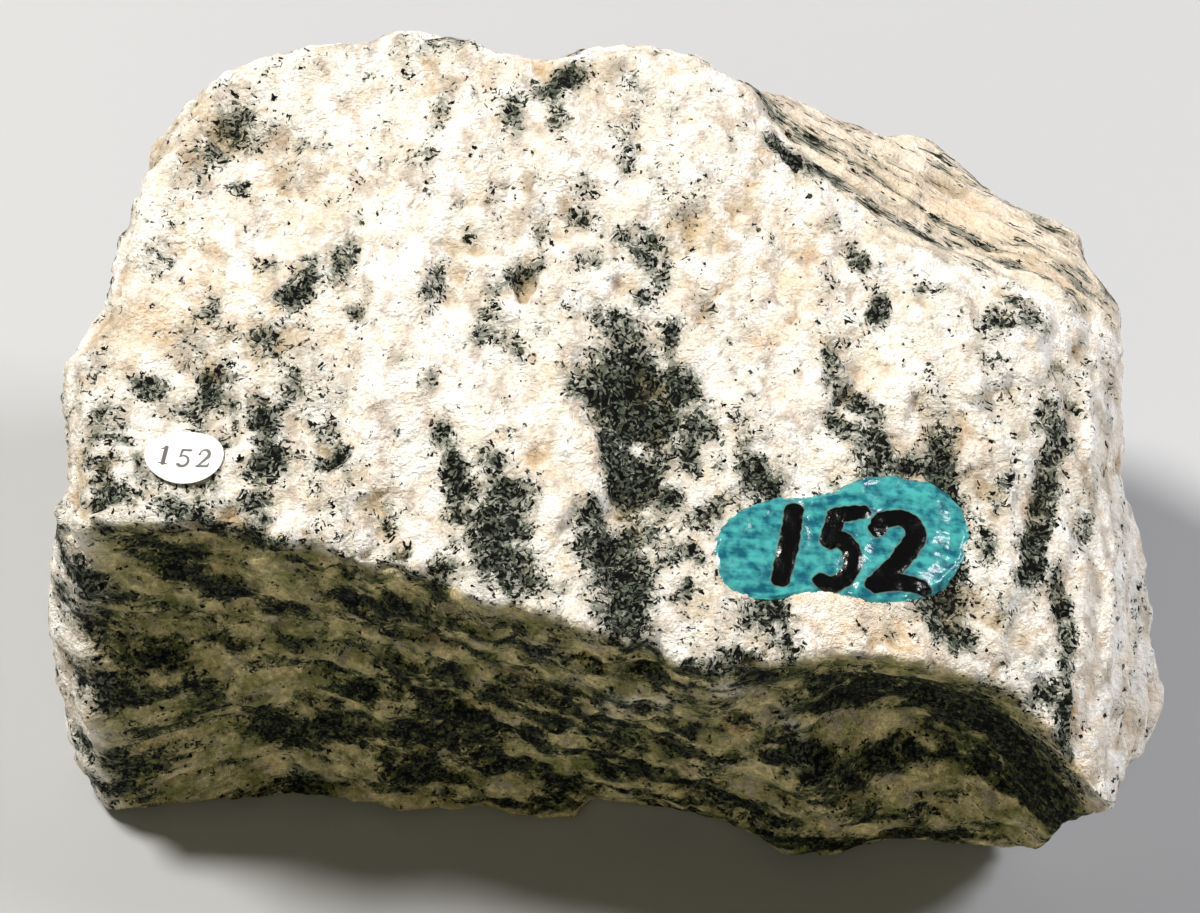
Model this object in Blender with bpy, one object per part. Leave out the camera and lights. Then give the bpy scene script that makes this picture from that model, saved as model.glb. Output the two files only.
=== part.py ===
"""Diorite hand specimen: a broken lump of streaky dark and white rock that rests on a flat spot.

A small oval paper label and a two-lobed patch of turquoise paint sit on its big pale face. The stone is
one solid body. It is described by the faces along which it broke (the big face, the overhanging front
face, a bevel at the back right, the turned right end, the narrow left end and the rough back), by the
outline that it shows to a viewer who looks down on it at 45 degrees, and by a relief that follows the
grain of the rock. Lengths are in millimetres until the meshes are made; the file's unit is the metre.
"""

import math

import bmesh
import bpy
import numpy as np
from mathutils import Matrix, Vector
from mathutils.bvhtree import BVHTree

MM = 0.001

# The specimen is seen from the front, 45 degrees above the table. Points picked on its outline are
# given on a grid of 1200 x 913 units whose middle is the point that the viewer looks at.
UNIT = 0.1086
GRID_MIDDLE = (600.0, 456.5)
SIGHT_ELEVATION = math.radians(45.0)
SIGHT_DISTANCE = 480.0
SIGHT_POINT = np.array([-0.1, 2.2, 32.0])
OUTLINE_CENTRE = (595.0, 462.0)

# The big face climbs towards the back. The grain of the rock lies in it.
FACE_SLOPE = 0.2493
FACE_HEIGHT = 51.75
FACE_FALL = 0.105
FACE_FALL_WIDTH = 14.0

BODY_POINT = np.array([0.0, 2.0, 26.0])
BOX_MIDDLE = np.array([0.0, 2.5, 30.5])
BOX_HALF = (60.0, 44.0, 31.0)
RAY_POINT = np.array([17.0, 1.0, 26.0])

# Outline of the whole stone, clockwise from the left.
OUTLINE = [
    (65, 370), (105, 310), (122, 234), (130, 230), (150, 140), (162, 127), (195, 88), (260, 60),
    (314, 46), (370, 45), (400, 36), (430, 40), (474, 41), (490, 52), (530, 56), (566, 56),
    (607, 49), (640, 47), (660, 50), (700, 62), (728, 78), (767, 91), (808, 102), (849, 117),
    (880, 136), (930, 136), (945, 146), (976, 182), (1010, 208), (1080, 232), (1085, 262),
    (1107, 287), (1120, 310), (1123, 340), (1123, 396), (1124, 450), (1128, 505), (1144, 564),
    (1152, 627), (1164, 698), (1150, 730), (1137, 756), (1110, 795), (1100, 813), (1070, 817),
    (1045, 845), (990, 846), (962, 842), (889, 838), (838, 853), (782, 855), (760, 838),
    (727, 820), (683, 809), (650, 803), (582, 797), (577, 820), (545, 823), (489, 815),
    (444, 816), (395, 816), (351, 802), (297, 794), (219, 799), (109, 811), (98, 800),
    (77, 756), (61, 693), (52, 630), (51, 568), (64, 507), (75, 480), (69, 450), (63, 393),
]

# Edge between the big face and the front face: across, down.
FRONT_EDGE = [
    (0, 508), (70, 514), (110, 520), (140, 517), (200, 521), (250, 523), (270, 537), (330, 546),
    (370, 560), (400, 566), (440, 577), (470, 592), (490, 603), (510, 597), (530, 608),
    (560, 615), (590, 628), (620, 640), (650, 640), (680, 664), (720, 670), (760, 660),
    (790, 662), (830, 655), (880, 655), (930, 665), (965, 676), (1000, 688), (1030, 712),
    (1050, 735), (1065, 755), (1085, 778), (1110, 812), (1200, 930),
]

# Foot of the front face: across, down, height over the table in mm.
FRONT_FOOT = [
    (0, 815, 1.6), (109, 815, 1.6), (300, 801, 1.7), (400, 820, 1.6), (577, 824, 2.8),
    (600, 800, 4.5), (690, 808, 6.0), (760, 838, 6.5), (800, 856, 6.0), (889, 842, 7.5),
    (990, 846, 8.5), (1045, 845, 10.0), (1110, 840, 13.0), (1200, 840, 18.0),
]

# Edge of the bevel at the back right: across, down.
BEVEL_EDGE = [
    (0, -900), (640, -120), (700, 30), (742, 100), (790, 160), (840, 205), (880, 240),
    (925, 265), (1000, 292), (1060, 311), (1110, 340), (1200, 380),
]

# Line where the right end turns away, and the edge of the narrow left end: down, across.
RIGHT_TURN = [
    (0, 1040), (250, 1060), (310, 1076), (400, 1068), (500, 1064), (600, 1062), (700, 1078),
    (800, 1100), (913, 1110),
]
LEFT_EDGE = [
    (0, 170), (100, 205), (140, 165), (230, 138), (300, 120), (370, 82), (450, 84), (480, 92),
    (520, 92), (570, 84), (630, 84), (700, 92), (760, 98), (811, 110), (913, 140),
]
BEVEL_STEEPNESS = 1.8
RIGHT_STEEPNESS = 1.5
LEFT_STEEPNESS = 2.2
FRONT_STEEPNESS = (0.9, 1.6)

# How far the edges between the broken faces are rounded.
BEVEL_ROUNDING = 1.8
RIGHT_ROUNDING = 5.0
LEFT_ROUNDING = 2.0
FRONT_ROUNDING = 1.6
RIM_ROUNDING = 1.2
BACK_ROUNDING = 3.0
FOOT_ROUNDING = 0.8

# Below this height the front face keeps to its own slope, and its edge softens over the next length.
LEAST_FRONT_HEIGHT = 14.0
EDGE_SOFTENING = 9.0

# The bevel is the calmest of the faces: how much calmer, over what way past its edge and past its plane.
BEVEL_CALM = 0.8
BEVEL_CALM_START = 2.5
BEVEL_CALM_REACH = 8.0

# The stone narrows away from its rim, more towards the table than towards the viewer.
RIM_NARROWING = 0.33
RIM_ROUND = 9.0
RIM_FRONT_SHARE = 0.6
RIM_INSET = 2.0

# Relief: height and the sizes of the lumps across the grain, along it and through the layers.
BROAD_LUMPS = (1.5, (13.0, 34.0, 9.0), 1)
RIB_LUMPS = (0.8, (5.0, 16.0, 3.4), 2)
COARSE_LUMPS = (0.45, (2.6, 7.0, 1.8), 3)
CALM_SHARE = 0.6

# The big face overhangs the front one by a lip: across, depth in mm.
FRONT_LIP = [
    (0, 0.3), (250, 0.6), (430, 0.9), (500, 1.3), (560, 0.6), (650, 0.8), (720, 1.2), (790, 1.6),
    (870, 3.0), (960, 3.4), (1030, 2.8), (1080, 0.8), (1200, 0.3),
]
LIP_HEIGHT = 3.4

# Hollows (positive) and swellings (negative) of the front face:
# across, down, half width, half height, turn in degrees, depth in mm.
FRONT_DENTS = [
    (925, 725, 115, 48, -16, 4.6),
    (665, 800, 90, 40, 0, 3.0),
    (350, 640, 120, 35, -20, 1.6),
    (520, 720, 90, 30, -20, 1.5),
    (150, 690, 60, 60, 0, -1.5),
    (800, 790, 60, 45, 0, -2.0),
    (250, 760, 90, 30, 0, 1.2),
]

# Broad swells (positive) and sunken parts (negative) of the big face, then its ribs and troughs, most
# of them long down the slope: across, down, half width, half height, turn in degrees, height in mm.
FACE_SWELLS = [
    (1130, 800, 150, 150, 0, -9.0),
    (100, 300, 120, 200, 0, -1.2),
    (560, 330, 260, 260, 0, 1.6),
]
FACE_RIBS = [
    (345, 465, 22, 120, -20, 0.9),
    (395, 500, 16, 90, -25, -0.7),
    (480, 450, 60, 110, -8, 0.9),
    (450, 330, 20, 120, 0, -0.7),
    (240, 200, 40, 110, -6, -0.8),
    (300, 330, 45, 90, -10, 0.6),
    (150, 420, 50, 70, 0, -0.7),
    (560, 170, 40, 110, 0, 0.7),
    (640, 400, 40, 200, 4, -0.9),
    (770, 300, 70, 150, 12, 0.9),
    (870, 380, 24, 130, 10, -0.6),
    (930, 330, 50, 110, 6, 0.7),
    (700, 620, 70, 30, -10, 0.7),
    (1000, 560, 24, 120, 0, 0.6),
    (1040, 500, 14, 120, -10, -0.6),
]

# Rough faces that nobody sees in front: direction, distance from the body point.
HIDDEN_FACES = [
    ((0.05, 0.98, -0.08), 40.0),
    ((0.62, 0.74, -0.10), 53.0),
    ((-0.70, 0.62, -0.15), 51.5),
    ((0.10, 0.72, -0.62), 40.0),
    ((-0.80, 0.35, -0.50), 53.0),
    ((0.80, 0.05, -0.60), 50.0),
]

# The flat spot that it rests on.
FOOT_MIDDLE = (-1.0, 6.0)
FOOT_HALF = (35.0, 18.0)
FOOT_BULGE = 2.2
FOOT_LUMP = 0.7
FOOT_LUMP_SIZE = 16.0

# Lower places along the front left: x, y, half width and depth in mm.
LOW_PLACES = [(-55.0, -20.0, 9.0, 2.0), (-30.0, -21.0, 17.0, 0.8)]

# The last move puts the middle of the stone's box over the origin.
CENTRING = (-0.02, -2.14, 0.0)

STONE_CUTS = 62
STONE_TRIANGLES = 7800

LABEL_CENTRE = (185.0, 460.5)
LABEL_SIZE = (8.3, 6.5)
LABEL_TURN = math.radians(-8.0)
LABEL_THICKNESS = 0.25

PAINT_CENTRE = (843.0, 541.0)
PAINT_OUTLINE = [
    (712, 556), (716, 538), (726, 520), (742, 508), (770, 499), (800, 497), (826, 494),
    (846, 485), (868, 478), (895, 475), (920, 478), (944, 489), (960, 506), (969, 530),
    (966, 555), (950, 580), (926, 597), (892, 606), (862, 603), (832, 594), (800, 594),
    (774, 600), (746, 597), (723, 583),
]
PAINT_THICKNESS = 0.3
SEAT_GAP = 0.3


def across(column):
    return (np.asarray(column, float) - GRID_MIDDLE[0]) * UNIT


def upward(row):
    return (GRID_MIDDLE[1] - np.asarray(row, float)) * UNIT


def column_of(u):
    return GRID_MIDDLE[0] + u / UNIT


def row_of(v):
    return GRID_MIDDLE[1] - v / UNIT


def blurred(values, steps, ring=False):
    """The values averaged with a bell curve whose width is `steps` of them."""
    reach = int(math.ceil(3 * steps))
    weights = np.exp(-0.5 * (np.arange(-reach, reach + 1) / steps) ** 2)
    padded = np.pad(values, reach, mode="wrap" if ring else "edge")
    return np.convolve(padded, weights / weights.sum(), mode="valid")


class Curve:
    """A hand-drawn line, rounded a little, that can be read off anywhere."""

    def __init__(self, points, rounding, column=1):
        table = np.array(points, float)
        self.at = np.arange(0.0, 1202.0, 2.0)
        self.value = blurred(np.interp(self.at, table[:, 0], table[:, column]), rounding / 2.0)

    def __call__(self, where):
        return np.interp(where, self.at, self.value)


def lattice_noise(p, seed):
    """Smooth noise between about -1 and 1: random slopes on a cubic lattice, blended between its points."""
    cell = np.floor(p).astype(np.int64)
    frac = p - cell
    fade = frac**3 * (frac * (frac * 6 - 15) + 10)
    total = np.zeros(len(p))
    for corner in range(8):
        step = np.array([corner & 1, (corner >> 1) & 1, (corner >> 2) & 1])
        at = cell + step
        mix = at[:, 0] * 374761393 + at[:, 1] * 668265263 + at[:, 2] * 1440662683
        mix = (mix + seed * 974634777) & 0xFFFFFFFF
        mix = ((mix ^ (mix >> 13)) * 1274126177) & 0xFFFFFFFF
        mix = ((mix ^ (mix >> 16)) * 2246822519) & 0xFFFFFFFF
        mix = mix ^ (mix >> 15)
        away = frac - step
        slope = ((mix & 1023) / 511.5 - 1) * away[:, 0]
        slope += (((mix >> 10) & 1023) / 511.5 - 1) * away[:, 1]
        slope += (((mix >> 20) & 1023) / 511.5 - 1) * away[:, 2]
        total += np.prod(np.where(step, fade, 1 - fade), axis=1) * slope
    return total * 1.5


def rounded_max(a, b, width):
    """The larger of the two, with the edge between them rounded over `width`."""
    near = np.maximum(width - np.abs(a - b), 0) / width
    return np.maximum(a, b) + near * near * width * 0.25


def along_sight(p):
    """Where the viewer sees the points: across, up, and their depth towards the viewer."""
    c, s = math.cos(SIGHT_ELEVATION), math.sin(SIGHT_ELEVATION)
    x, y, z = (p - SIGHT_POINT).T
    depth = z * s - y * c
    scale = SIGHT_DISTANCE / (SIGHT_DISTANCE - depth)
    return x * scale, (y * s + z * c) * scale, depth


def along_grain(p):
    """The points in the frame of the grain: across it, down the big face, and through the layers."""
    turn = math.atan(FACE_SLOPE)
    c, s = math.cos(turn), math.sin(turn)
    return np.stack([p[:, 0], p[:, 1] * c + p[:, 2] * s, p[:, 2] * c - p[:, 1] * s], 1)


def hills(u, v, rows):
    """The sum of soft oval hills: height * exp(-(a/A)^2 - (b/B)^2), with a and b in the hill's own turned axes."""
    total = np.zeros(np.shape(u))
    for column, row, half_wide, half_high, turn, height in rows:
        c, s = math.cos(math.radians(turn)), math.sin(math.radians(turn))
        du, dv = u - across(column), v - upward(row)
        a = (du * c + dv * s) / (half_wide * UNIT)
        b = (dv * c - du * s) / (half_high * UNIT)
        total = total + height * np.exp(-a * a - b * b)
    return total


front_edge = Curve(FRONT_EDGE, 5)
front_edge_soft = Curve(FRONT_EDGE, 40)
front_lip = Curve(FRONT_LIP, 14)
front_foot = Curve(FRONT_FOOT, 20)
front_foot_height = Curve(FRONT_FOOT, 40, 2)
bevel_edge = Curve(BEVEL_EDGE, 14)
right_turn = Curve(RIGHT_TURN, 20)
left_edge = Curve(LEFT_EDGE, 14)


def face_depth(u, v):
    """Depth of the big face: a plane that climbs to the back and bends down towards the right."""
    c, s = math.cos(SIGHT_ELEVATION), math.sin(SIGHT_ELEVATION)
    bend = np.log1p(np.exp(np.clip(u / FACE_FALL_WIDTH, -30, 30)))
    level = FACE_HEIGHT + FACE_SLOPE * SIGHT_POINT[1] - SIGHT_POINT[2]
    level = level - FACE_FALL * FACE_FALL_WIDTH * bend
    plane = (level + v * (FACE_SLOPE * s - c)) / (s + FACE_SLOPE * c)
    return plane + hills(u, v, FACE_SWELLS)


def front_depth(u, v, dents=True):
    """Depth of the front face: straight lines from its upper edge down to its foot, less the hollows."""
    c, s = math.cos(SIGHT_ELEVATION), math.sin(SIGHT_ELEVATION)
    column = column_of(u)
    fine, soft = upward(front_edge(column)), upward(front_edge_soft(column))
    foot = upward(front_foot(column))
    foot_depth = (front_foot_height(column) - SIGHT_POINT[2] - foot * c) / s
    steep = (face_depth(u, soft) - foot_depth) / np.maximum(soft - foot, LEAST_FRONT_HEIGHT)
    steep = np.clip(steep, *FRONT_STEEPNESS)
    below = np.clip((fine - v) / EDGE_SOFTENING, 0, 1)
    edge = fine + (soft - fine) * below * below * (3 - 2 * below)
    depth = face_depth(u, edge) - steep * (edge - v)
    if dents:
        lip = np.clip((fine - v) / LIP_HEIGHT, 0, 1)
        depth = depth - front_lip(column) * lip * lip * (3 - 2 * lip) - hills(u, v, FRONT_DENTS)
    return depth, 1 / np.sqrt(1 + steep * steep)


def bevel_depth(u, v):
    """Depth of the bevel: it falls away from the big face beyond the bevel's edge."""
    edge = upward(bevel_edge(column_of(u)))
    return face_depth(u, edge) - BEVEL_STEEPNESS * (v - edge)


def right_depth(u, v):
    """Depth of the right end, which turns away from the viewer."""
    edge = across(right_turn(row_of(v)))
    return face_depth(edge, v) - RIGHT_STEEPNESS * (u - edge)


def left_depth(u, v):
    """Depth of the narrow left end."""
    edge = across(left_edge(row_of(v)))
    start = np.minimum(face_depth(edge, v), front_depth(edge, v, False)[0])
    return start - LEFT_STEEPNESS * (edge - u)


def seen_faces(u, v, depth):
    """How far a point is outside the faces that the viewer sees."""
    front, front_scale = front_depth(u, v)
    face_scale = math.cos(math.pi / 2 - SIGHT_ELEVATION - math.atan(FACE_SLOPE))
    field = (depth - face_depth(u, v)) * face_scale - hills(u, v, FACE_RIBS)
    for surface, steepness, rounding in (
        (bevel_depth, BEVEL_STEEPNESS, BEVEL_ROUNDING),
        (right_depth, RIGHT_STEEPNESS, RIGHT_ROUNDING),
        (left_depth, LEFT_STEEPNESS, LEFT_ROUNDING),
    ):
        outside = (depth - surface(u, v)) / math.hypot(1, steepness)
        field = rounded_max(field, outside, rounding)
    return rounded_max(field, (depth - front) * front_scale, FRONT_ROUNDING)


class Rim:
    """The outline as distances from its centre, and the depth at which the stone reaches it."""

    def __init__(self):
        self.angle = np.linspace(-math.pi, math.pi, 1441)[:-1]
        self.centre = float(across(OUTLINE_CENTRE[0])), float(upward(OUTLINE_CENTRE[1]))
        corners = np.array(OUTLINE, float)
        corners = np.stack([across(corners[:, 0]), upward(corners[:, 1])], 1)
        share = np.linspace(0, 1, 12, endpoint=False)[:, None, None]
        chords = (corners * (1 - share) + np.roll(corners, -1, axis=0) * share).reshape(-1, 2)
        du, dv = chords[:, 0] - self.centre[0], chords[:, 1] - self.centre[1]
        angle = np.arctan2(dv, du)
        order = np.argsort(angle)
        reach = np.interp(
            self.angle, angle[order], np.hypot(du, dv)[order], period=2 * math.pi
        )
        self.fine = blurred(reach, 2, ring=True)
        self.soft = blurred(reach, 20, ring=True)
        self.depth = blurred(self.seen_depth(), 8, ring=True) - RIM_INSET

    def seen_depth(self):
        u = self.centre[0] + self.fine * np.cos(self.angle)
        v = self.centre[1] + self.fine * np.sin(self.angle)
        low, high = np.full(len(u), -80.0), np.full(len(u), 60.0)
        for _ in range(40):
            middle = (low + high) / 2
            inside = seen_faces(u, v, middle) < 0
            low = np.where(inside, middle, low)
            high = np.where(inside, high, middle)
        return low

    def read(self, values, angle):
        return np.interp(angle, self.angle, values, period=2 * math.pi)

    def outside(self, u, v, depth):
        """How far a point is outside the outline, which narrows away from the rim, and how near the rim it is."""
        du, dv = u - self.centre[0], v - self.centre[1]
        angle = np.arctan2(dv, du)
        soft = self.read(self.soft, angle)
        beyond = depth - self.read(self.depth, angle)
        reach = soft + (self.read(self.fine, angle) - soft) * np.exp(-((beyond / RIM_ROUND) ** 2))
        narrowing = RIM_NARROWING * (np.hypot(beyond, RIM_ROUND) - RIM_ROUND)
        reach = reach - narrowing * np.where(beyond < 0, 1.0, RIM_FRONT_SHARE)
        return (np.hypot(du, dv) - reach) * 0.93, np.exp(-((beyond / 11.0) ** 2))


rim = Rim()


def relief(p, calm):
    """Height of the broken surface over the plain faces: broad lumps, ribs along the grain, coarse grains."""
    grain = along_grain(p)
    broad, ribs, coarse = (
        height * lattice_noise(grain / np.array(sizes), seed)
        for height, sizes, seed in (BROAD_LUMPS, RIB_LUMPS, COARSE_LUMPS)
    )
    return broad + (ribs + coarse) * (1 - CALM_SHARE * calm)


def calm_places(u, v, depth):
    """1 where the surface is smoother, under the label and the paint and on the bevel, and 0 elsewhere."""
    places = [
        (LABEL_CENTRE[0], LABEL_CENTRE[1], 55, 42, 0, 1.0),
        (PAINT_CENTRE[0], PAINT_CENTRE[1], 165, 85, 8, 1.0),
    ]
    edge = upward(bevel_edge(column_of(u)))
    past = np.clip((v - edge) / BEVEL_CALM_START, 0, 1)
    near = np.exp(-(((depth - bevel_depth(u, v)) / BEVEL_CALM_REACH) ** 2))
    return np.clip(hills(u, v, places) + BEVEL_CALM * past * near, 0, 1)


def underside(p):
    """How far a point is below the rough underside, which bulges down around the foot."""
    x, y, z = p.T
    away = ((x - FOOT_MIDDLE[0]) / FOOT_HALF[0]) ** 2 + ((y - FOOT_MIDDLE[1]) / FOOT_HALF[1]) ** 2
    flat = np.stack([x / FOOT_LUMP_SIZE, y / FOOT_LUMP_SIZE, np.full(len(x), 0.5)], 1)
    lumps = FOOT_LUMP * lattice_noise(flat, 77)
    low = np.zeros(len(x))
    for middle_x, middle_y, half, depth in LOW_PLACES:
        low += depth * np.exp(-((x - middle_x) ** 2 + (y - middle_y) ** 2) / half**2)
    return np.clip(FOOT_BULGE * (np.sqrt(away) - 1.0) + lumps - low, -4, 9) - z


def stone_field(p):
    """How far a point is outside the stone: below zero inside it."""
    u, v, depth = along_sight(p)
    bump = relief(p, calm_places(u, v, depth))
    outline, near_rim = rim.outside(u, v, depth)
    field = rounded_max(
        seen_faces(u, v, depth) - bump, outline - bump * (1 - 0.8 * near_rim), RIM_ROUNDING
    )
    for direction, distance in HIDDEN_FACES:
        normal = np.array(direction) / np.linalg.norm(direction)
        field = rounded_max(field, (p - BODY_POINT) @ normal - distance - bump, BACK_ROUNDING)
    return rounded_max(field, underside(p) - 0.6 * bump, FOOT_ROUNDING)


def stone_surface(directions):
    """The point where each ray from the ray point leaves the stone."""
    low, high = np.zeros(len(directions)), np.full(len(directions), 100.0)
    for _ in range(24):
        middle = (low + high) / 2
        inside = stone_field(RAY_POINT + directions * middle[:, None]) < 0
        low = np.where(inside, middle, low)
        high = np.where(inside, high, middle)
    return RAY_POINT + directions * low[:, None]


def clear_scene():
    for old in list(bpy.data.objects):
        bpy.data.objects.remove(old, do_unlink=True)


def make_material(name, color, roughness, metallic=0.0):
    made = bpy.data.materials.new(name)
    made.use_nodes = True
    shader = made.node_tree.nodes["Principled BSDF"]
    shader.inputs["Base Color"].default_value = (*color, 1.0)
    shader.inputs["Roughness"].default_value = roughness
    shader.inputs["Metallic"].default_value = metallic
    made.diffuse_color = (*color, 1.0)
    return made


def add_object(name, mesh, material):
    mesh.materials.clear()
    mesh.materials.append(material)
    made = bpy.data.objects.new(name, mesh)
    bpy.context.scene.collection.objects.link(made)
    return made


def stone_block():
    """A box of quads pushed out, or in, to the surface of the stone."""
    block = bmesh.new()
    bmesh.ops.create_cube(block, size=2.0)
    bmesh.ops.subdivide_edges(block, edges=block.edges[:], cuts=STONE_CUTS, use_grid_fill=True)
    box = np.array([vertex.co[:] for vertex in block.verts]) * BOX_HALF + BOX_MIDDLE
    directions = box - RAY_POINT
    directions /= np.linalg.norm(directions, axis=1)[:, None]
    for vertex, place in zip(block.verts, stone_surface(directions)):
        vertex.co = Vector(place * MM)
    bmesh.ops.recalc_face_normals(block, faces=block.faces[:])
    mesh = bpy.data.meshes.new("stone_block")
    block.to_mesh(mesh)
    block.free()
    return mesh


def smooth_folds(body):
    """Closes the few facets that turned inwards, by drawing the shortest edge of each to a point."""
    middle = Vector(RAY_POINT * MM)
    for _ in range(4):
        body.normal_update()
        folded = [
            face
            for face in body.faces
            if face.normal.dot((face.calc_center_median() - middle).normalized()) < 0.02
        ]
        if not folded:
            return
        short = {min(face.edges, key=lambda edge: edge.calc_length()) for face in folded}
        bmesh.ops.collapse(body, edges=list(short))


def make_stone(material):
    """The stone: the block thinned out to flat facets, then cut level where it rests."""
    rough = add_object("stone_rough", stone_block(), material)
    thin = rough.modifiers.new("facets", "DECIMATE")
    thin.ratio = STONE_TRIANGLES / (12 * (STONE_CUTS + 1) ** 2)
    bpy.context.view_layer.update()
    facets = bpy.data.meshes.new_from_object(
        rough.evaluated_get(bpy.context.evaluated_depsgraph_get())
    )
    bpy.data.objects.remove(rough, do_unlink=True)
    body = bmesh.new()
    body.from_mesh(facets)
    smooth_folds(body)
    cut = bmesh.ops.bisect_plane(
        body,
        geom=body.verts[:] + body.edges[:] + body.faces[:],
        plane_co=(0, 0, 0),
        plane_no=(0, 0, -1),
        clear_outer=True,
    )
    rims = [part for part in cut["geom_cut"] if isinstance(part, bmesh.types.BMEdge)]
    bmesh.ops.triangle_fill(body, edges=rims, use_beauty=True, normal=(0, 0, -1))
    bmesh.ops.recalc_face_normals(body, faces=body.faces[:])
    bmesh.ops.triangulate(body, faces=[face for face in body.faces if len(face.verts) > 3])
    body.to_mesh(facets)
    body.free()
    facets.name = "stone"
    return add_object("stone", facets, material)


def face_axes():
    """The big face's own axes: across, up the slope, and out of the face."""
    turn = math.atan(FACE_SLOPE)
    side = Vector((1.0, 0.0, 0.0))
    slope = Vector((0.0, math.cos(turn), math.sin(turn)))
    return side, slope, side.cross(slope)


def sight_hit(tree, column, row):
    """The point of the stone that the viewer sees at that place of the grid."""
    c, s = math.cos(SIGHT_ELEVATION), math.sin(SIGHT_ELEVATION)
    eye = Vector(SIGHT_POINT) + Vector((0.0, -c, s)) * SIGHT_DISTANCE
    u, v = float(across(column)), float(upward(row))
    aim = Vector(SIGHT_POINT) + Vector((u, v * s, v * c))
    found = tree.ray_cast(eye * MM, (aim - eye).normalized())
    return found[0] / MM


def ring_grid(reach, rings, spokes):
    """Flat points of a disc whose edge lies at reach(angle): the middle, then one ring after another."""
    points = [(0.0, 0.0)]
    for ring in range(1, rings + 1):
        for spoke in range(spokes):
            angle = 2 * math.pi * spoke / spokes
            far = reach(angle) * ring / rings
            points.append((far * math.cos(angle), far * math.sin(angle)))
    return np.array(points)


def disc_faces(rings, spokes, start, flip):
    """Triangles and quads of such a disc, with its points counted from `start`."""
    faces = []
    for spoke in range(spokes):
        after = (spoke + 1) % spokes
        faces.append((start, start + 1 + spoke, start + 1 + after))
        for ring in range(rings - 1):
            low, high = start + 1 + ring * spokes, start + 1 + (ring + 1) * spokes
            faces.append((low + spoke, high + spoke, high + after, low + after))
    return [face[::-1] for face in faces] if flip else faces


def stone_heights(tree, middle, flat):
    """Height of the stone over the face's plane through `middle`, at flat points of that plane."""
    side, slope, out = face_axes()
    heights = []
    for a, b in flat:
        start = (middle + side * a + slope * b + out * 12.0) * MM
        found = tree.ray_cast(start, -out)
        heights.append(12.0 - found[3] / MM)
    return np.array(heights)


def quadratic_terms(flat):
    a, b = flat.T
    return np.stack([np.ones(len(a)), a, b, a * a, a * b, b * b], 1)


def seat_heights(tree, middle, flat, reach, stiff):
    """Heights of a sheet laid on the stone: the stone's own, smoothed, and clear of it by the seat gap."""
    dense = ring_grid(lambda angle: reach(angle) + 0.3, 26, 110)
    ground = stone_heights(tree, middle, dense)
    terms, *_ = np.linalg.lstsq(quadratic_terms(dense), ground, rcond=None)
    if stiff:
        lift = (ground - quadratic_terms(dense) @ terms).max()
        return quadratic_terms(flat) @ terms + lift + SEAT_GAP
    heights = []
    for place in flat:
        near = np.hypot(*(dense - place).T)
        heights.append(ground[near < 0.9].max())
    heights = np.array(heights)
    return heights + SEAT_GAP


def make_sheet(name, tree, middle, reach, rings, spokes, thickness, stiff, material):
    """A thin sheet with its edge at reach(angle), lying on the stone around `middle`."""
    side, slope, out = face_axes()
    flat = ring_grid(reach, rings, spokes)
    low = seat_heights(tree, middle, flat, reach, stiff)
    points = []
    for height in (low, low + thickness):
        for (a, b), c in zip(flat, height):
            points.append((middle + side * a + slope * b + out * float(c)) * MM)
    half = len(flat)
    faces = disc_faces(rings, spokes, half, False) + disc_faces(rings, spokes, 0, True)
    edge = 1 + (rings - 1) * spokes
    for spoke in range(spokes):
        here, after = edge + spoke, edge + (spoke + 1) % spokes
        faces.append((here, after, after + half, here + half))
    mesh = bpy.data.meshes.new(name)
    mesh.from_pydata([tuple(point) for point in points], [], faces)
    shape = bmesh.new()
    shape.from_mesh(mesh)
    bmesh.ops.recalc_face_normals(shape, faces=shape.faces[:])
    shape.to_mesh(mesh)
    shape.free()
    return add_object(name, mesh, material)


def make_label(tree, material):
    """The oval paper label: stiff, so it bridges the grains below it."""
    half_wide, half_high = LABEL_SIZE[0] / 2, LABEL_SIZE[1] / 2

    def reach(angle):
        turned = angle - LABEL_TURN
        return 1 / math.hypot(math.cos(turned) / half_wide, math.sin(turned) / half_high)

    middle = sight_hit(tree, *LABEL_CENTRE)
    return make_sheet(
        "paper_label", tree, middle, reach, 3, 32, LABEL_THICKNESS, True, material
    )


def make_paint(tree, material):
    """The two-lobed patch of paint, which follows the stone."""
    middle = sight_hit(tree, *PAINT_CENTRE)
    side, slope, out = face_axes()
    edge = []
    for column, row in PAINT_OUTLINE:
        away = sight_hit(tree, column, row) - middle
        edge.append((away.dot(side), away.dot(slope)))
    edge = np.array(edge)
    share = np.linspace(0, 1, 8, endpoint=False)[:, None, None]
    chords = (edge * (1 - share) + np.roll(edge, -1, axis=0) * share).reshape(-1, 2)
    angle = np.arctan2(chords[:, 1], chords[:, 0])
    order = np.argsort(angle)
    spread = np.linspace(-math.pi, math.pi, 181)[:-1]
    length = np.hypot(*chords.T)[order]
    length = blurred(np.interp(spread, angle[order], length, period=2 * math.pi), 2, ring=True)

    def reach(where):
        return float(np.interp(where, spread, length, period=2 * math.pi))

    return make_sheet(
        "paint_patch", tree, middle, reach, 8, 48, PAINT_THICKNESS, False, material
    )


def build():
    clear_scene()
    bpy.context.scene.unit_settings.system = "METRIC"
    rock = make_material("streaky_diorite", (0.52, 0.49, 0.43), 0.72)
    paper = make_material("white_paper", (0.87, 0.87, 0.84), 0.65)
    paint = make_material("turquoise_gloss_paint", (0.06, 0.36, 0.38), 0.22)
    stone = make_stone(rock)
    shape = bmesh.new()
    shape.from_mesh(stone.data)
    tree = BVHTree.FromBMesh(shape)
    shape.free()
    for piece in (stone, make_label(tree, paper), make_paint(tree, paint)):
        piece.data.transform(Matrix.Translation(Vector(CENTRING) * MM))


build()
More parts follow.
